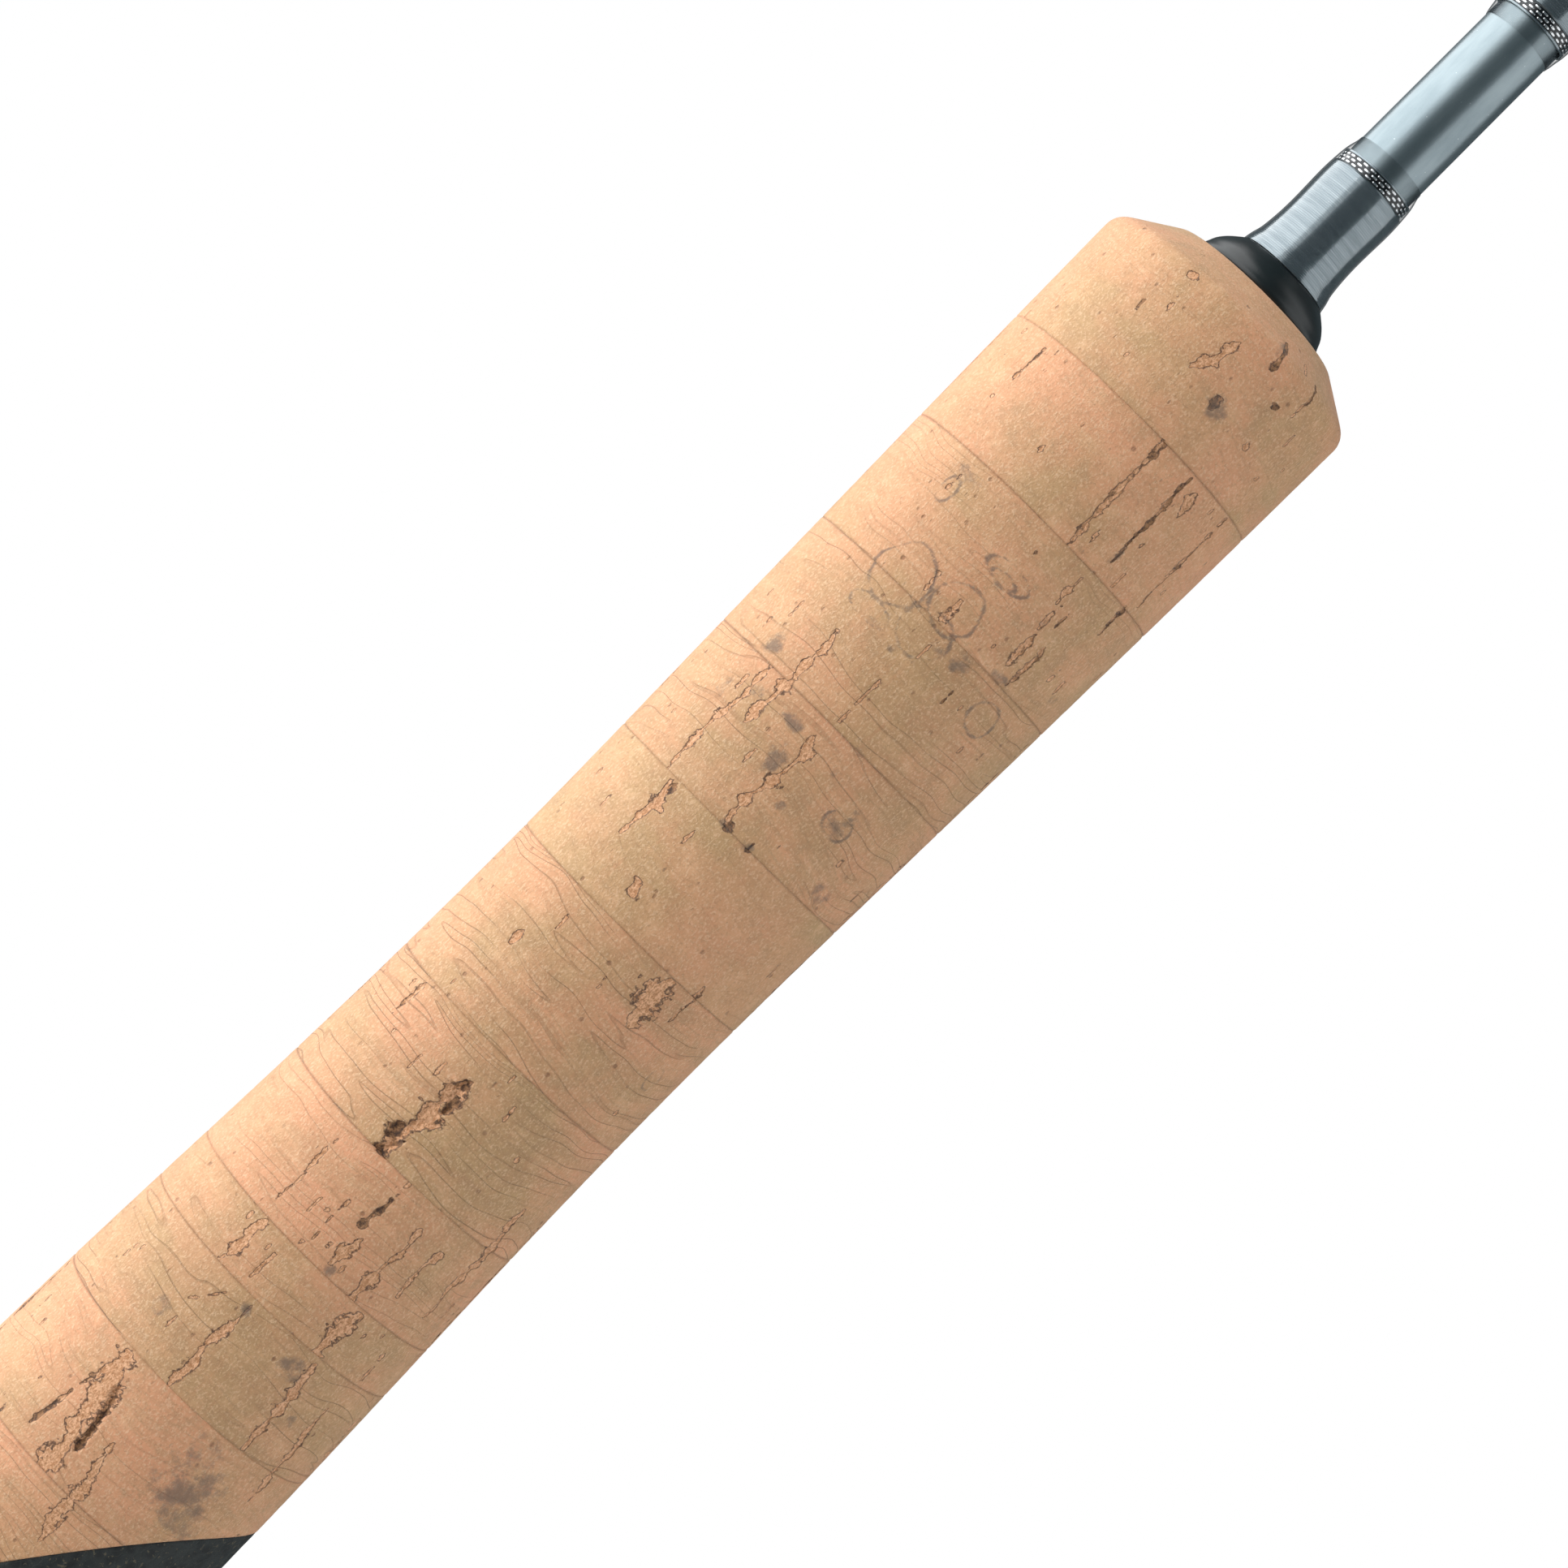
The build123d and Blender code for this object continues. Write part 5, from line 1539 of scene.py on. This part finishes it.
    def cover(self, name: str, span: Span, mouth: int) -> Piece:
        """A thin steel cover over a hood, with its lip rolled at the mouth and a groove behind the lip."""
        angle = angles(192)
        outer, inner = self.hood_radius(angle, 0.76), self.hood_radius(angle, 0.06)
        lip = span.end if mouth > 0 else span.start
        drops = [
            (0.0, 0.5), (0.08, 0.25), (0.25, 0.08), (0.6, 0.0), (1.1, 0.0), (1.35, 0.22), (1.75, 0.22),
            (2.0, 0.0),
        ]
        near = [(lip - mouth * x, outer - d) for x, d in drops]
        tail = lip - mouth * span.length
        far = [(tail + mouth * x, outer - d) for x, d in ((0.0, 0.35), (0.1, 0.1), (0.35, 0.0), (0.9, 0.0))]
        middle = [(x, outer) for x in np.linspace(tail + mouth * 1.2, lip - mouth * 2.4, 10)]
        skin = far + middle + near[::-1]
        skin = skin if mouth > 0 else skin[::-1]
        rows = skin + [(span.end, inner), (span.start, inner)]
        return surface(name, wheel(np.array([x for x, _ in rows]), np.stack([r for _, r in rows]), angle))

    def build_nut(self) -> None:
        """Makes the nut, its flutes scooped by circles round it, and its bright band."""
        nut, band = Span.of("lock_nut"), Span.of("lock_nut_band")
        angle = angles(self.flutes * 20)
        near = np.abs((angle * self.flutes / TURN + 0.5) % 1.0 - 0.5) * TURN / self.flutes * self.nut
        scoop = self.nut + self.flute / 2 - np.sqrt(np.maximum(self.flute**2 - near**2, 0.0))
        scoop = np.where(near < self.flute, np.maximum(self.nut - scoop, 0.0), 0.0)
        stop = band.start - 2.4
        x = np.array([0.0, 0.1, 0.4, 0.9, 1.5])
        drop = np.array([0.95, 0.55, 0.25, 0.06, 0.0])
        main = np.linspace(nut.start + 2.0, stop - 1.6, 8)
        run_out = np.linspace(stop - 1.4, stop, 9)
        step = band.start - 0.06
        ledge = [stop + 0.3, step - 0.25, step - 0.08, step, nut.end]
        rows = np.concatenate([nut.start + x, main, run_out, ledge])
        base = np.interp(rows, nut.start + x, self.nut - drop)
        base[-3:] = (self.nut - 0.12, self.nut - 0.56, self.nut - 0.56)
        depth = 1.0 - ease(stop - 1.4, stop, rows)
        grid = base[:, None] - scoop * depth[:, None]
        rows = np.concatenate([rows, [nut.end, nut.start + 0.7, nut.start]])
        hole = np.repeat([[self.sleeve], [self.sleeve], [self.sleeve + 0.6]], len(angle), axis=1)
        piece = surface("lock_nut_fluted", wheel(rows, np.concatenate([grid, hole]), angle))
        place(piece, BLACK_SEAT, "lock_nut", "lock_nut")
        r = self.nut
        outline = [(band.start, r - 0.5), (band.start, r), (band.end, r), (band.end, r - 0.5)]
        piece = lathe("lock_nut_bright_band", rounded(outline, [0.05, 0.35, 0.35, 0.05], 6), 192)
        place(piece, TRIM_METAL, "lock_nut", "lock_nut_band")


@dataclass(frozen=True)
class WindingCheck:
    """The rubber check in front of the foregrip.

    Attributes:
        dome: Its profile: distance ahead of the grip's face, and radius.
        bore: Radius of its hole.
    """

    dome: tuple[tuple[float, float], ...] = (
        (0.06, 6.45), (0.1, 6.66), (0.22, 6.78), (0.45, 6.80), (0.9, 6.66), (1.5, 6.40), (2.0, 6.05),
        (2.5, 5.58), (2.9, 5.12), (3.15, 4.82), (3.3, 4.62),
    )
    bore: float = 3.65

    def build(self) -> None:
        """Makes the check."""
        face = Span.of("foregrip_cork_rings").end
        ahead, radii = np.array(self.dome).T
        x = np.linspace(ahead[3], ahead[-1], 30)
        curve = np.stack([x, natural_spline(ahead, radii, x)], axis=1)
        skin = np.concatenate([np.array(self.dome[:3]), curve, [[3.3, self.bore], [0.06, self.bore]]])
        piece = lathe("winding_check_dome", skin + [face, 0.0], 160)
        place(piece, SoftRubber(), "butt_section", "winding_check")


# ---- thread wraps ----------------------------------------------------------------------------------------


@dataclass(frozen=True)
class TrimmedWrap:
    """A thread wrap round the blank with a band of silver dashes, under clear resin.

    Attributes:
        prefix: Starts the names of its nodes.
        resin: The resin's outline: distance from its start, and rise over the blank. Negative distances are
            taken from its end.
        rows: Rows of dashes.
        dashes: Dashes in a row.
        dash: A dash's length, width and height.
        clear: Thickness of the clear resin over the thread.
    """

    prefix: str
    resin: tuple[tuple[float, float], ...]
    rows: int = 3
    dashes: int = 27
    dash: Point = (0.58, 0.20, 0.060)
    clear: float = 0.12

    def build(self, blank: Blank) -> None:
        """Makes the thread, the band and the resin."""
        thread, band = Span.of(f"{self.prefix}_wrap_thread"), Span.of(f"{self.prefix}_wrap_band")
        coat = Span.of(f"{self.prefix}_wrap_finish")
        stretches = ((thread.start, band.start - 0.03), (band.end + 0.03, thread.end))
        for number, (low, high) in enumerate(stretches):
            x = np.linspace(low, high, 48)
            skin = np.stack([x, blank.radius(x) + np.maximum(0.27, self.rise(coat, x) - self.clear)], axis=1)
            edges = [[low, blank.radius(low) + 0.07], [low, skin[0, 1] - 0.07]]
            far = [[high, skin[-1, 1] - 0.07], [high, blank.radius(high) + 0.07]]
            piece = lathe(f"{self.prefix}_thread_{number + 1}", np.concatenate([edges, skin, far]), 96)
            place(piece, Thread(), "butt_section", f"{self.prefix}_wrap_thread")
        self.build_band(blank, band)
        self.build_resin(blank, Span.of(f"{self.prefix}_wrap_finish"))

    def build_band(self, blank: Blank, band: Span) -> None:
        """Makes the band: rows of short silver stitches, each set half a stitch on from the last."""
        r = float(blank.radius(band.middle))
        outline = [(band.start, r + 0.07), (band.start, r + 0.25), (band.end, r + 0.25), (band.end, r + 0.07)]
        node = f"{self.prefix}_wrap_band"
        place(lathe(f"{node}_base", rounded(outline, 0.04), 96), DARK_THREAD, "butt_section", node)
        length, width, height = self.dash
        pitch = band.length / self.rows
        row, turn = np.meshgrid(np.arange(self.rows), np.arange(self.dashes), indexing="ij")
        x = band.start + (row + 0.5) * pitch
        angle = (turn + 0.5 * (row % 2) + 0.13) * TURN / self.dashes
        rise = np.array([0.0, 0.55, 0.85, 1.0])[:, None]
        spread = np.array([1.0, 0.98, 0.75, 0.3])[:, None]
        around = angles(10)[None, :]
        u = np.sign(np.cos(around)) * np.abs(np.cos(around)) ** 0.6 * spread
        v = np.sign(np.sin(around)) * np.abs(np.sin(around)) ** 0.6 * spread
        x_at = x[..., None, None] + v * width / 2
        angle_at = angle[..., None, None] - u * length / 2 / r
        radius_at = np.broadcast_to(r + 0.22 + rise * height, angle_at.shape)
        grids = np.stack([x_at, -radius_at * np.cos(angle_at), -radius_at * np.sin(angle_at)], axis=-1)
        piece = surface(f"{node}_stitches", grids.reshape(-1, *grids.shape[2:]), Ends.CAPPED)
        place(piece, SILVER_THREAD, "butt_section", node)

    def rise(self, coat: Span, x: Array) -> Array:
        """How far the resin stands over the blank at x."""
        away, rises = np.array(self.resin).T
        away = np.where(away < 0, coat.length + away, away)
        away[-1] = coat.length
        return np.maximum(natural_spline(away, rises, x - coat.start), 0.06)

    def build_resin(self, blank: Blank, span: Span) -> None:
        """Makes the resin's skin over the thread."""
        x = np.linspace(span.start, span.end, 120)
        skin = np.stack([x, blank.radius(x) + self.rise(span, x)], axis=1)
        inner = [[span.end, blank.radius(span.end) + 0.02], [span.start, blank.radius(span.start) + 0.02]]
        node = f"{self.prefix}_wrap_finish"
        place(lathe(f"{node}_coat", np.concatenate([skin, inner]), 96), Resin(), "butt_section", node)


@dataclass(frozen=True)
class PlainWrap:
    """A thread wrap and its resin in one bead, over the bare blank or over a foot on its underside.

    Attributes:
        blank: The blank that it is wound round.
        rise: Its thickness.
        slope: Length of its sloping ends.
    """

    blank: Blank
    rise: float = 0.3
    slope: float = 1.1

    def build(self, name: str, near: float, far: float, foot: Callable[[Array], Array] | None = None) -> Any:
        """Makes the wrap from near to far: r = a / cos(psi - |turn|) with psi = acos(a / d) where the thread
        runs straight from the blank, of radius a, to the foot, whose top is d away from the axis.

        Args:
            name: The piece's name.
            near: One end.
            far: The other end.
            foot: How high the foot stands over the blank at x.

        Returns:
            The wrap.
        """
        low, high = min(near, far), max(near, far)
        angle = angles(96)
        level = np.linspace(self.slope, high - low - self.slope, 32)[1:-1]
        x = [np.linspace(0, self.slope, 9), level, high - low - np.linspace(self.slope, 0, 9)]
        x = np.concatenate(x) + low
        radius = self.blank.radius(x)
        swell = np.sqrt(np.clip(1 - (1 - np.minimum((x - low) / self.slope, 1.0)) ** 2, 0, 1))
        swell = swell * np.sqrt(np.clip(1 - (1 - np.minimum((high - x) / self.slope, 1.0)) ** 2, 0, 1))
        base = (radius + 0.03 + (self.rise - 0.03) * swell)[:, None]
        lift = np.zeros_like(x) if foot is None else foot(x)
        crest = np.maximum(base[:, 0] + lift, base[:, 0] * 1.0001)[:, None]
        psi = np.arccos(base / crest)
        turn = np.abs(np.angle(np.exp(1j * (angle - math.pi / 2))))[None, :]
        grid = np.where(turn < psi, base / np.cos(np.clip(psi - turn, 0, 1.5)), base)
        flat = crest - 0.10 * lift[:, None] * (1 - np.exp(-((turn / 0.3) ** 2)))
        grid = np.minimum(grid, flat)
        rows = np.concatenate([x, x[-1:], x[:1]])
        inner = np.repeat(radius[[-1, 0], None] + 0.01, len(angle), axis=1)
        return surface(name, wheel(rows, np.concatenate([grid, inner]), angle))


@dataclass(frozen=True)
class HookKeeper:
    """The wire loop that a hook is parked on, with each foot under its own short wrap.

    Attributes:
        wire: The wire's radius.
        foot: Length of a foot.
        lean: How far the loop's sides lean in.
        bare: How much of a foot is bare.
    """

    wire: float = 0.4
    foot: float = 6.5
    lean: float = 1.2
    bare: float = 1.0

    def build(self, blank: Blank) -> None:
        """Makes the loop and its two wraps."""
        span = Span.of("hook_keeper")
        low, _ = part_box("hook_keeper")
        depth = low.z / MM + self.wire
        start, end = span.start + self.foot, span.end - self.foot
        level = -(float(blank.radius(span.start)) + self.wire + 0.06)
        corners = [
            (span.start, level), (start, level), (start + self.lean, depth), (end - self.lean, depth),
            (end, level),
            (span.end, level),
        ]
        bends = rounded(corners, [0.1, 0.9, 1.1, 1.1, 0.9, 0.1], 9).reshape(6, 11, 2)[1:-1].reshape(-1, 2)
        route = filled(np.concatenate([[corners[0]], bends, [corners[-1]]]), 0.35)
        route = np.stack([route[:, 0], np.zeros(len(route)), route[:, 1]], axis=1)
        thin = np.minimum(route[:, 0] - span.start, span.end - route[:, 0])
        keep = 0.45 + 0.55 * ease(0.0, 3.5, thin)
        route[:, 2] += self.wire * (1 - keep)
        place(wire("hook_keeper_loop", route, self.wire * np.ones(len(route)), 20, keep), GUIDE_STEEL,
              "butt_section", "hook_keeper")
        wraps = Span.of("hook_keeper_wraps")
        tall = 2 * self.wire + 0.06
        bead = PlainWrap(blank, 0.3, 0.9)
        for name, near, far, toe in (
            ("hook_keeper_wrap_rear", wraps.start, start - self.bare, span.start),
            ("hook_keeper_wrap_front", end + self.bare, wraps.end, span.end),
        ):
            way = 1.0 if name.endswith("rear") else -1.0
            piece = bead.build(name, near, far, lambda x: tall * (0.5 + 0.5 * ease(0.0, 3.5, way * (x - toe)))
                               * ease(-1.4, -0.1, way * (x - toe)))
            place(piece, Thread(), "butt_section", "hook_keeper_wraps")


# ---- guides ----------------------------------------------------------------------------------------------


@dataclass(frozen=True)
class LineRing:
    """A polished ceramic ring in a metal hoop, square to the rod.

    Attributes:
        x: Its place along the rod.
        drop: How far its centre is below the axis.
        radius: The ceramic's outer radius.
        wall: The ceramic's wall.
        seat: The hoop's wall.
        width: The ceramic's width.
        seat_width: The hoop's width.
    """

    x: float
    drop: float
    radius: float
    wall: float
    seat: float = 0.7
    width: float = 2.2
    seat_width: float = 1.4

    def ceramic(self, name: str) -> Piece:
        """The ceramic ring, rounded where the line runs."""
        low, high = self.x - self.width / 2, self.x + self.width / 2
        r, bore = self.radius, self.radius - self.wall
        outline = rounded([(low, bore), (low, r), (high, r), (high, bore)], 0.36 * self.wall, 7)
        return lathe(name, outline, 96, Ends.LOOPED, (0.0, -self.drop))

    def hoop(self, name: str) -> Piece:
        """The metal hoop."""
        low, high = self.x - self.seat_width / 2, self.x + self.seat_width / 2
        bore, r = self.radius + 0.06, self.radius + self.seat
        outline = rounded([(low, bore), (low, r), (high, r), (high, bore)], [0.08, 0.24, 0.24, 0.08], 6)
        return lathe(name, outline, 96, Ends.LOOPED, (0.0, -self.drop))

    def rim(self, spread: float, side: int) -> Point:
        """The point on the hoop that many degrees round from its top."""
        r, turn = self.radius + self.seat / 2, math.radians(spread)
        return (self.x, side * r * math.sin(turn), -self.drop + r * math.cos(turn))


@dataclass(frozen=True)
class Guide:
    """One line guide: a ring on bent legs, with one or two feet wrapped to the blank.

    Attributes:
        number: Which guide it is, from the butt.
        feet: How many feet it has.
        body: The CAD body that it rides on.
        foot_thickness: A foot's thickness.
        foot_width: A foot's width.
        bare: How much of a foot's root is bare.
        overrun: How far a wrap runs past the foot's toe.
        pairs: Each pair of legs: which way its foot points, its spread on the ring, its share of the reach.
    """

    number: int
    feet: int
    body: str
    foot_thickness: float = 0.6
    foot_width: float = 1.8
    bare: float = 1.4
    overrun: float = 2.5
    pairs: tuple[tuple[int, float, float], ...] = ((1, 62.0, 1.0), (-1, 38.0, 0.75))

    def build(self, blank: Blank) -> None:
        """Makes the ring, the frame and the wraps."""
        name = f"guide_{self.number}"
        low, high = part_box(f"{name}_ring")
        radius, x = (high.z - low.z) / 2 / MM, (low.x + high.x) / 2 / MM
        size, drop = 2 * radius, -(low.z + high.z) / 2 / MM
        ring = LineRing(x, drop, radius, 0.028 * size + 0.6)
        place(ring.ceramic(f"{name}_ceramic"), RING_CERAMIC, self.body, f"{name}_ring")
        height = drop - float(blank.radius(x))
        reach, foot, leg = 0.62 * height + 2.0, 0.36 * size + 6.2, 0.018 * size + 0.24
        parts = [ring.hoop(f"{name}_hoop")]
        for towards, spread, share in self.pairs[: self.feet]:
            root = x + towards * share * reach
            parts += self.foot(blank, ring, root, towards, spread, foot, leg)
            toe = root + towards * foot
            flat = root + towards * 0.55 * foot
            tall = self.foot_thickness + 0.06
            bead = PlainWrap(blank, 0.3, 1.0).build(
                f"{name}_wrap_{'front' if towards > 0 else 'rear'}",
                root + towards * self.bare,
                toe + towards * self.overrun,
                lambda s: tall * (1 - 0.75 * ease(0, 1, towards * (s - flat) / (towards * (toe - flat))))
                * (1 - ease(0.0, 1.2, towards * (s - toe))),
            )
            place(bead, Thread(), self.body, f"{name}_wraps")
        place(joined(f"{name}_wire_frame", parts), GUIDE_STEEL, self.body, f"{name}_frame")

    def foot(
        self, blank: Blank, ring: LineRing, root: float, towards: int, spread: float, length: float,
        leg: float,
    ) -> list[Piece]:
        """A tapered foot with the two legs that bend into it.

        The foot's section is |y|^3 + |z|^3 = 1 stretched to its width and thickness, which both shrink
        towards the toe.

        Args:
            blank: The blank under it.
            ring: The ring that its legs come from.
            root: Where it starts.
            towards: Which way it points.
            spread: How far round the ring its legs are.
            length: Its length.
            leg: A leg's radius.

        Returns:
            The foot and the legs.
        """
        share = np.concatenate([[0.0, 0.004, 0.015], np.linspace(0.04, 0.97, 22), [0.99, 1.0]])
        x = root + towards * share * length
        level = blank.radius(x) + 0.05
        thick = self.foot_thickness * (1 - 0.75 * ease(0.5, 1.0, share))
        thick = thick * np.interp(share, [0, 0.015], [0.5, 1])
        width = self.foot_width * (1 - 0.35 * ease(0.4, 1.0, share)) * np.interp(share, [0, 0.015], [0.85, 1])
        turn = angles(20)[None, :]
        y = np.sign(np.cos(turn)) * np.abs(np.cos(turn)) ** (2 / 3) * width[:, None] / 2
        up = np.sign(np.sin(turn)) * np.abs(np.sin(turn)) ** (2 / 3)
        z = -(level[:, None] + thick[:, None] / 2 * (1 + up))
        grid = np.stack([np.broadcast_to(x[:, None], y.shape), -towards * y, z], axis=-1)
        parts = [surface("foot", grid, Ends.CAPPED)]
        base = -(float(blank.radius(root)) + 0.06 + self.foot_thickness / 2)
        for side in (-1, 1):
            top = np.array(ring.rim(spread, side))
            heel = np.array([root + towards * leg, side * self.foot_width / 4, base])
            bend = heel + (top - heel) * 0.28
            sole = heel + np.array([towards * 0.3 * length, 0.0, 0.0])
            curve = bezier([bend, heel + (top - heel) * 0.08, heel, sole])
            route = np.concatenate([np.linspace(top, bend, 12)[:-1], curve])
            fade = np.clip((towards * (route[:, 0] - heel[0])) / (0.3 * length), 0, 1)
            away = np.linalg.norm(route - top, axis=1)
            swell = 0.42 + 0.58 * ease(0.2, 2.2, away)
            parts.append(wire("leg", route, leg * (1 - 0.45 * fade) * swell, 16, 1 - 0.3 * fade))
        return parts


@dataclass(frozen=True)
class TipTop:
    """The tip top: a tube over the blank's end with a ring held by two legs and two braces.

    Attributes:
        tube: The tube's radius at its front.
        nose: Length of its closed end.
        leg: Radius of the legs.
    """

    tube: float = 1.42
    nose: float = 1.0
    leg: float = 0.42

    def build(self, blank: Blank) -> None:
        """Makes the ring, the frame and the wrap."""
        low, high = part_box("tip_top_ring")
        radius, x = (high.z - low.z) / 2 / MM, (low.x + high.x) / 2 / MM
        ring = LineRing(x, -(low.z + high.z) / 2 / MM, radius, 1.0)
        place(ring.ceramic("tip_top_ceramic"), RING_CERAMIC, "tip_section", "tip_top_ring")
        frame, end = Span.of("tip_top_frame"), Span.of("tip_blank").end
        wide = float(blank.radius(frame.start)) - 0.85 + self.tube
        stop = end + 0.06 + self.nose
        outline = [(frame.start, wide - 0.45), (frame.start, wide), (stop - 0.6, self.tube), (stop, 0.5),
                   (stop, 0.02),
                   (stop - self.nose, 0.02), (stop - self.nose, 0.97)]
        tube = rounded(outline, [0.1, 0.15, 0.5, 0.3, 0.0, 0.0, 0.05])
        parts = [ring.hoop("hoop"), lathe("tube", tube, 48)]
        sunk = self.tube - self.leg - 0.06
        for side in (-1, 1):
            parts += [
                self.strut((end - 3.5, side * sunk, 0.0), ring.rim(70.0, side)),
                self.strut((end - 8.5, side * self.leg, -sunk), ring.rim(143.0, side)),
            ]
        place(joined("tip_top_wire_frame", parts), GUIDE_STEEL, "tip_section", "tip_top_frame")
        wrap = Span.of("tip_top_wrap")
        bead = PlainWrap(blank, 0.3, 0.8).build("tip_top_bead", wrap.start, wrap.end)
        place(bead, Thread(), "tip_section", "tip_top_wrap")

    def strut(self, root: Point, end: Point) -> Piece:
        """A leg that leaves the tube along it and bends to the ring."""
        start, stop = np.array(root), np.array(end)
        reach = stop - start
        near = start + np.array([0.35 * reach[0], 0.06 * reach[1], 0.06 * reach[2]])
        far = start + 0.72 * reach
        route = bezier([start, near, far, stop], 24)
        swell = 0.75 + 0.25 * ease(0.1, 0.9, np.linalg.norm(route - stop, axis=1))
        return wire("strut", route, self.leg * swell, 14)


# ---- the studio ------------------------------------------------------------------------------------------


@dataclass(frozen=True)
class Studio:
    """A wide softbox overhead, a pale floor below and a camera on the rod's side.

    Attributes:
        lens: The camera's focal length, in millimetres.
        frame: Width of the picture at the rod, in millimetres.
        back: How far behind the foregrip's front face the picture's centre is.
        low: How far below the axis it is.
        box: The softbox's length and its height over the rod, in metres.
        panels: The y of the front and back edges of each panel of the softbox, and its brightness.
        floor: The floor's height and the y of its front and back edges.
    """

    lens: float = 110.0
    frame: float = 135.1
    back: float = 58.0
    low: float = 0.64
    box: tuple[float, float] = (3.4, 1.0)
    panels: tuple[tuple[float, float, float], ...] = ((-1.30, 0.95, 1.93), (-2.30, -1.31, 0.75))
    floor: Point = (-0.25, -0.29, 0.085)

    def build(self) -> None:
        """Makes the camera, the lights, the floor and the world."""
        target = Span.of("foregrip_cork_rings").end - self.back
        distance = self.frame * self.lens / 36.0
        camera = bpy.data.objects.new("camera", bpy.data.cameras.new("camera"))
        camera.data.lens = self.lens
        camera.data.sensor_width = 36.0
        right, up = (0.5**0.5, 0.0, -(0.5**0.5)), (0.5**0.5, 0.0, 0.5**0.5)
        stand = (target * MM, -distance * MM, -self.low * MM)
        camera.matrix_world = Matrix(
            [(right[k], up[k], (0.0, -1.0, 0.0)[k], stand[k]) for k in range(3)] + [(0.0, 0.0, 0.0, 1.0)]
        )
        camera.data.clip_start = 0.01
        bpy.context.scene.collection.objects.link(camera)
        bpy.context.scene.camera = camera
        length, height = self.box
        for front, back, radiance in self.panels:
            light = bpy.data.lights.new("softbox", "AREA")
            light.shape, light.size, light.size_y = "RECTANGLE", length, back - front
            light.energy = 4.0 * length * (back - front) * radiance
            softbox = bpy.data.objects.new("softbox", light)
            softbox.location = (target * MM, (front + back) / 2.0, height)
            bpy.context.scene.collection.objects.link(softbox)
        bpy.context.scene.view_settings.view_transform = "Standard"
        self.make_floor(target * MM)
        self.make_world()

    def make_floor(self, middle: float) -> Piece:
        """A plain pale floor."""
        level, front, back = self.floor
        mesh = bpy.data.meshes.new("floor")
        low, high = middle - 2.0, middle + 2.4
        corners = [(low, front, level), (high, front, level), (high, back, level), (low, back, level)]
        mesh.from_pydata(corners, [], [(0, 1, 2, 3)])
        slab = bpy.data.objects.new("floor", mesh)
        bpy.context.scene.collection.objects.link(slab)
        graph = Graph("floor_paper")
        fine = graph.noise(graph.place_mm(), 0.05, 2.0)
        colour = graph.blend(fine, (0.68, 0.68, 0.68), (0.72, 0.72, 0.72))
        mesh.materials.append(graph.skin(base_color=colour, roughness=0.9))
        return slab

    def make_world(self) -> None:
        """A world that is white to the camera and dim to everything else."""
        world = bpy.data.worlds.new("studio")
        bpy.context.scene.world = world
        world.use_nodes = True
        tree = world.node_tree
        tree.nodes.clear()
        seen = tree.nodes.new("ShaderNodeLightPath")
        mix = tree.nodes.new("ShaderNodeMixShader")
        dim, white = (tree.nodes.new("ShaderNodeBackground") for _ in range(2))
        dim.inputs[0].default_value = (0.100, 0.125, 0.135, 1.0)
        white.inputs[0].default_value = (1.0, 1.0, 1.0, 1.0)
        output = tree.nodes.new("ShaderNodeOutputWorld")
        tree.links.new(seen.outputs["Is Camera Ray"], mix.inputs[0])
        tree.links.new(dim.outputs[0], mix.inputs[1])
        tree.links.new(white.outputs[0], mix.inputs[2])
        tree.links.new(mix.outputs[0], output.inputs[0])


GRIP_RESIN = (
    (0.0, 1.08), (0.35, 1.02), (0.95, 0.89), (1.45, 0.75), (2.05, 0.65), (3.05, 0.55), (4.9, 0.47),
    (7.2, 0.51), (9.3, 0.54), (-2.4, 0.46), (-1.6, 0.38), (-0.9, 0.23), (-0.4, 0.10), (0.0, 0.06),
)
KEEPER_RESIN = (
    (0.0, 0.06), (0.4, 0.16), (1.1, 0.27), (1.7, 0.38), (3.0, 0.45), (6.0, 0.47), (12.0, 0.47),
    (-3.0, 0.46), (-1.7, 0.38), (-1.0, 0.24), (-0.4, 0.12), (0.0, 0.06),
)


def main() -> None:
    """Builds the rod's sub-assemblies from the butt to the tip, then the studio."""
    logging.basicConfig(level=logging.INFO, format="%(message)s")
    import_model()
    blank = Blank()
    RearGrip().build()
    for node in ("rear_trim_ring", "front_trim_ring"):
        TrimRing(node).build()
    ReelSeat().build()
    Foregrip().build()
    WindingCheck().build()
    blank.build()
    TrimmedWrap("grip", GRIP_RESIN).build(blank)
    TrimmedWrap("keeper", KEEPER_RESIN).build(blank)
    HookKeeper().build(blank)
    for node, body in (("ferrule_spigot_wrap", "butt_section"), ("ferrule_socket_wrap", "tip_section")):
        span = Span.of(node)
        bead = PlainWrap(blank, 0.52, 1.3).build(f"{node}_bead", span.start, span.end)
        place(bead, Thread(), body, node)
    for number, feet in enumerate((2, 2, 2, 1, 1, 1, 1), start=1):
        Guide(number, feet, "butt_section" if number == 1 else "tip_section").build(blank)
    TipTop().build(blank)
    Studio().build()
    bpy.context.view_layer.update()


if __name__ == "__main__":
    main()
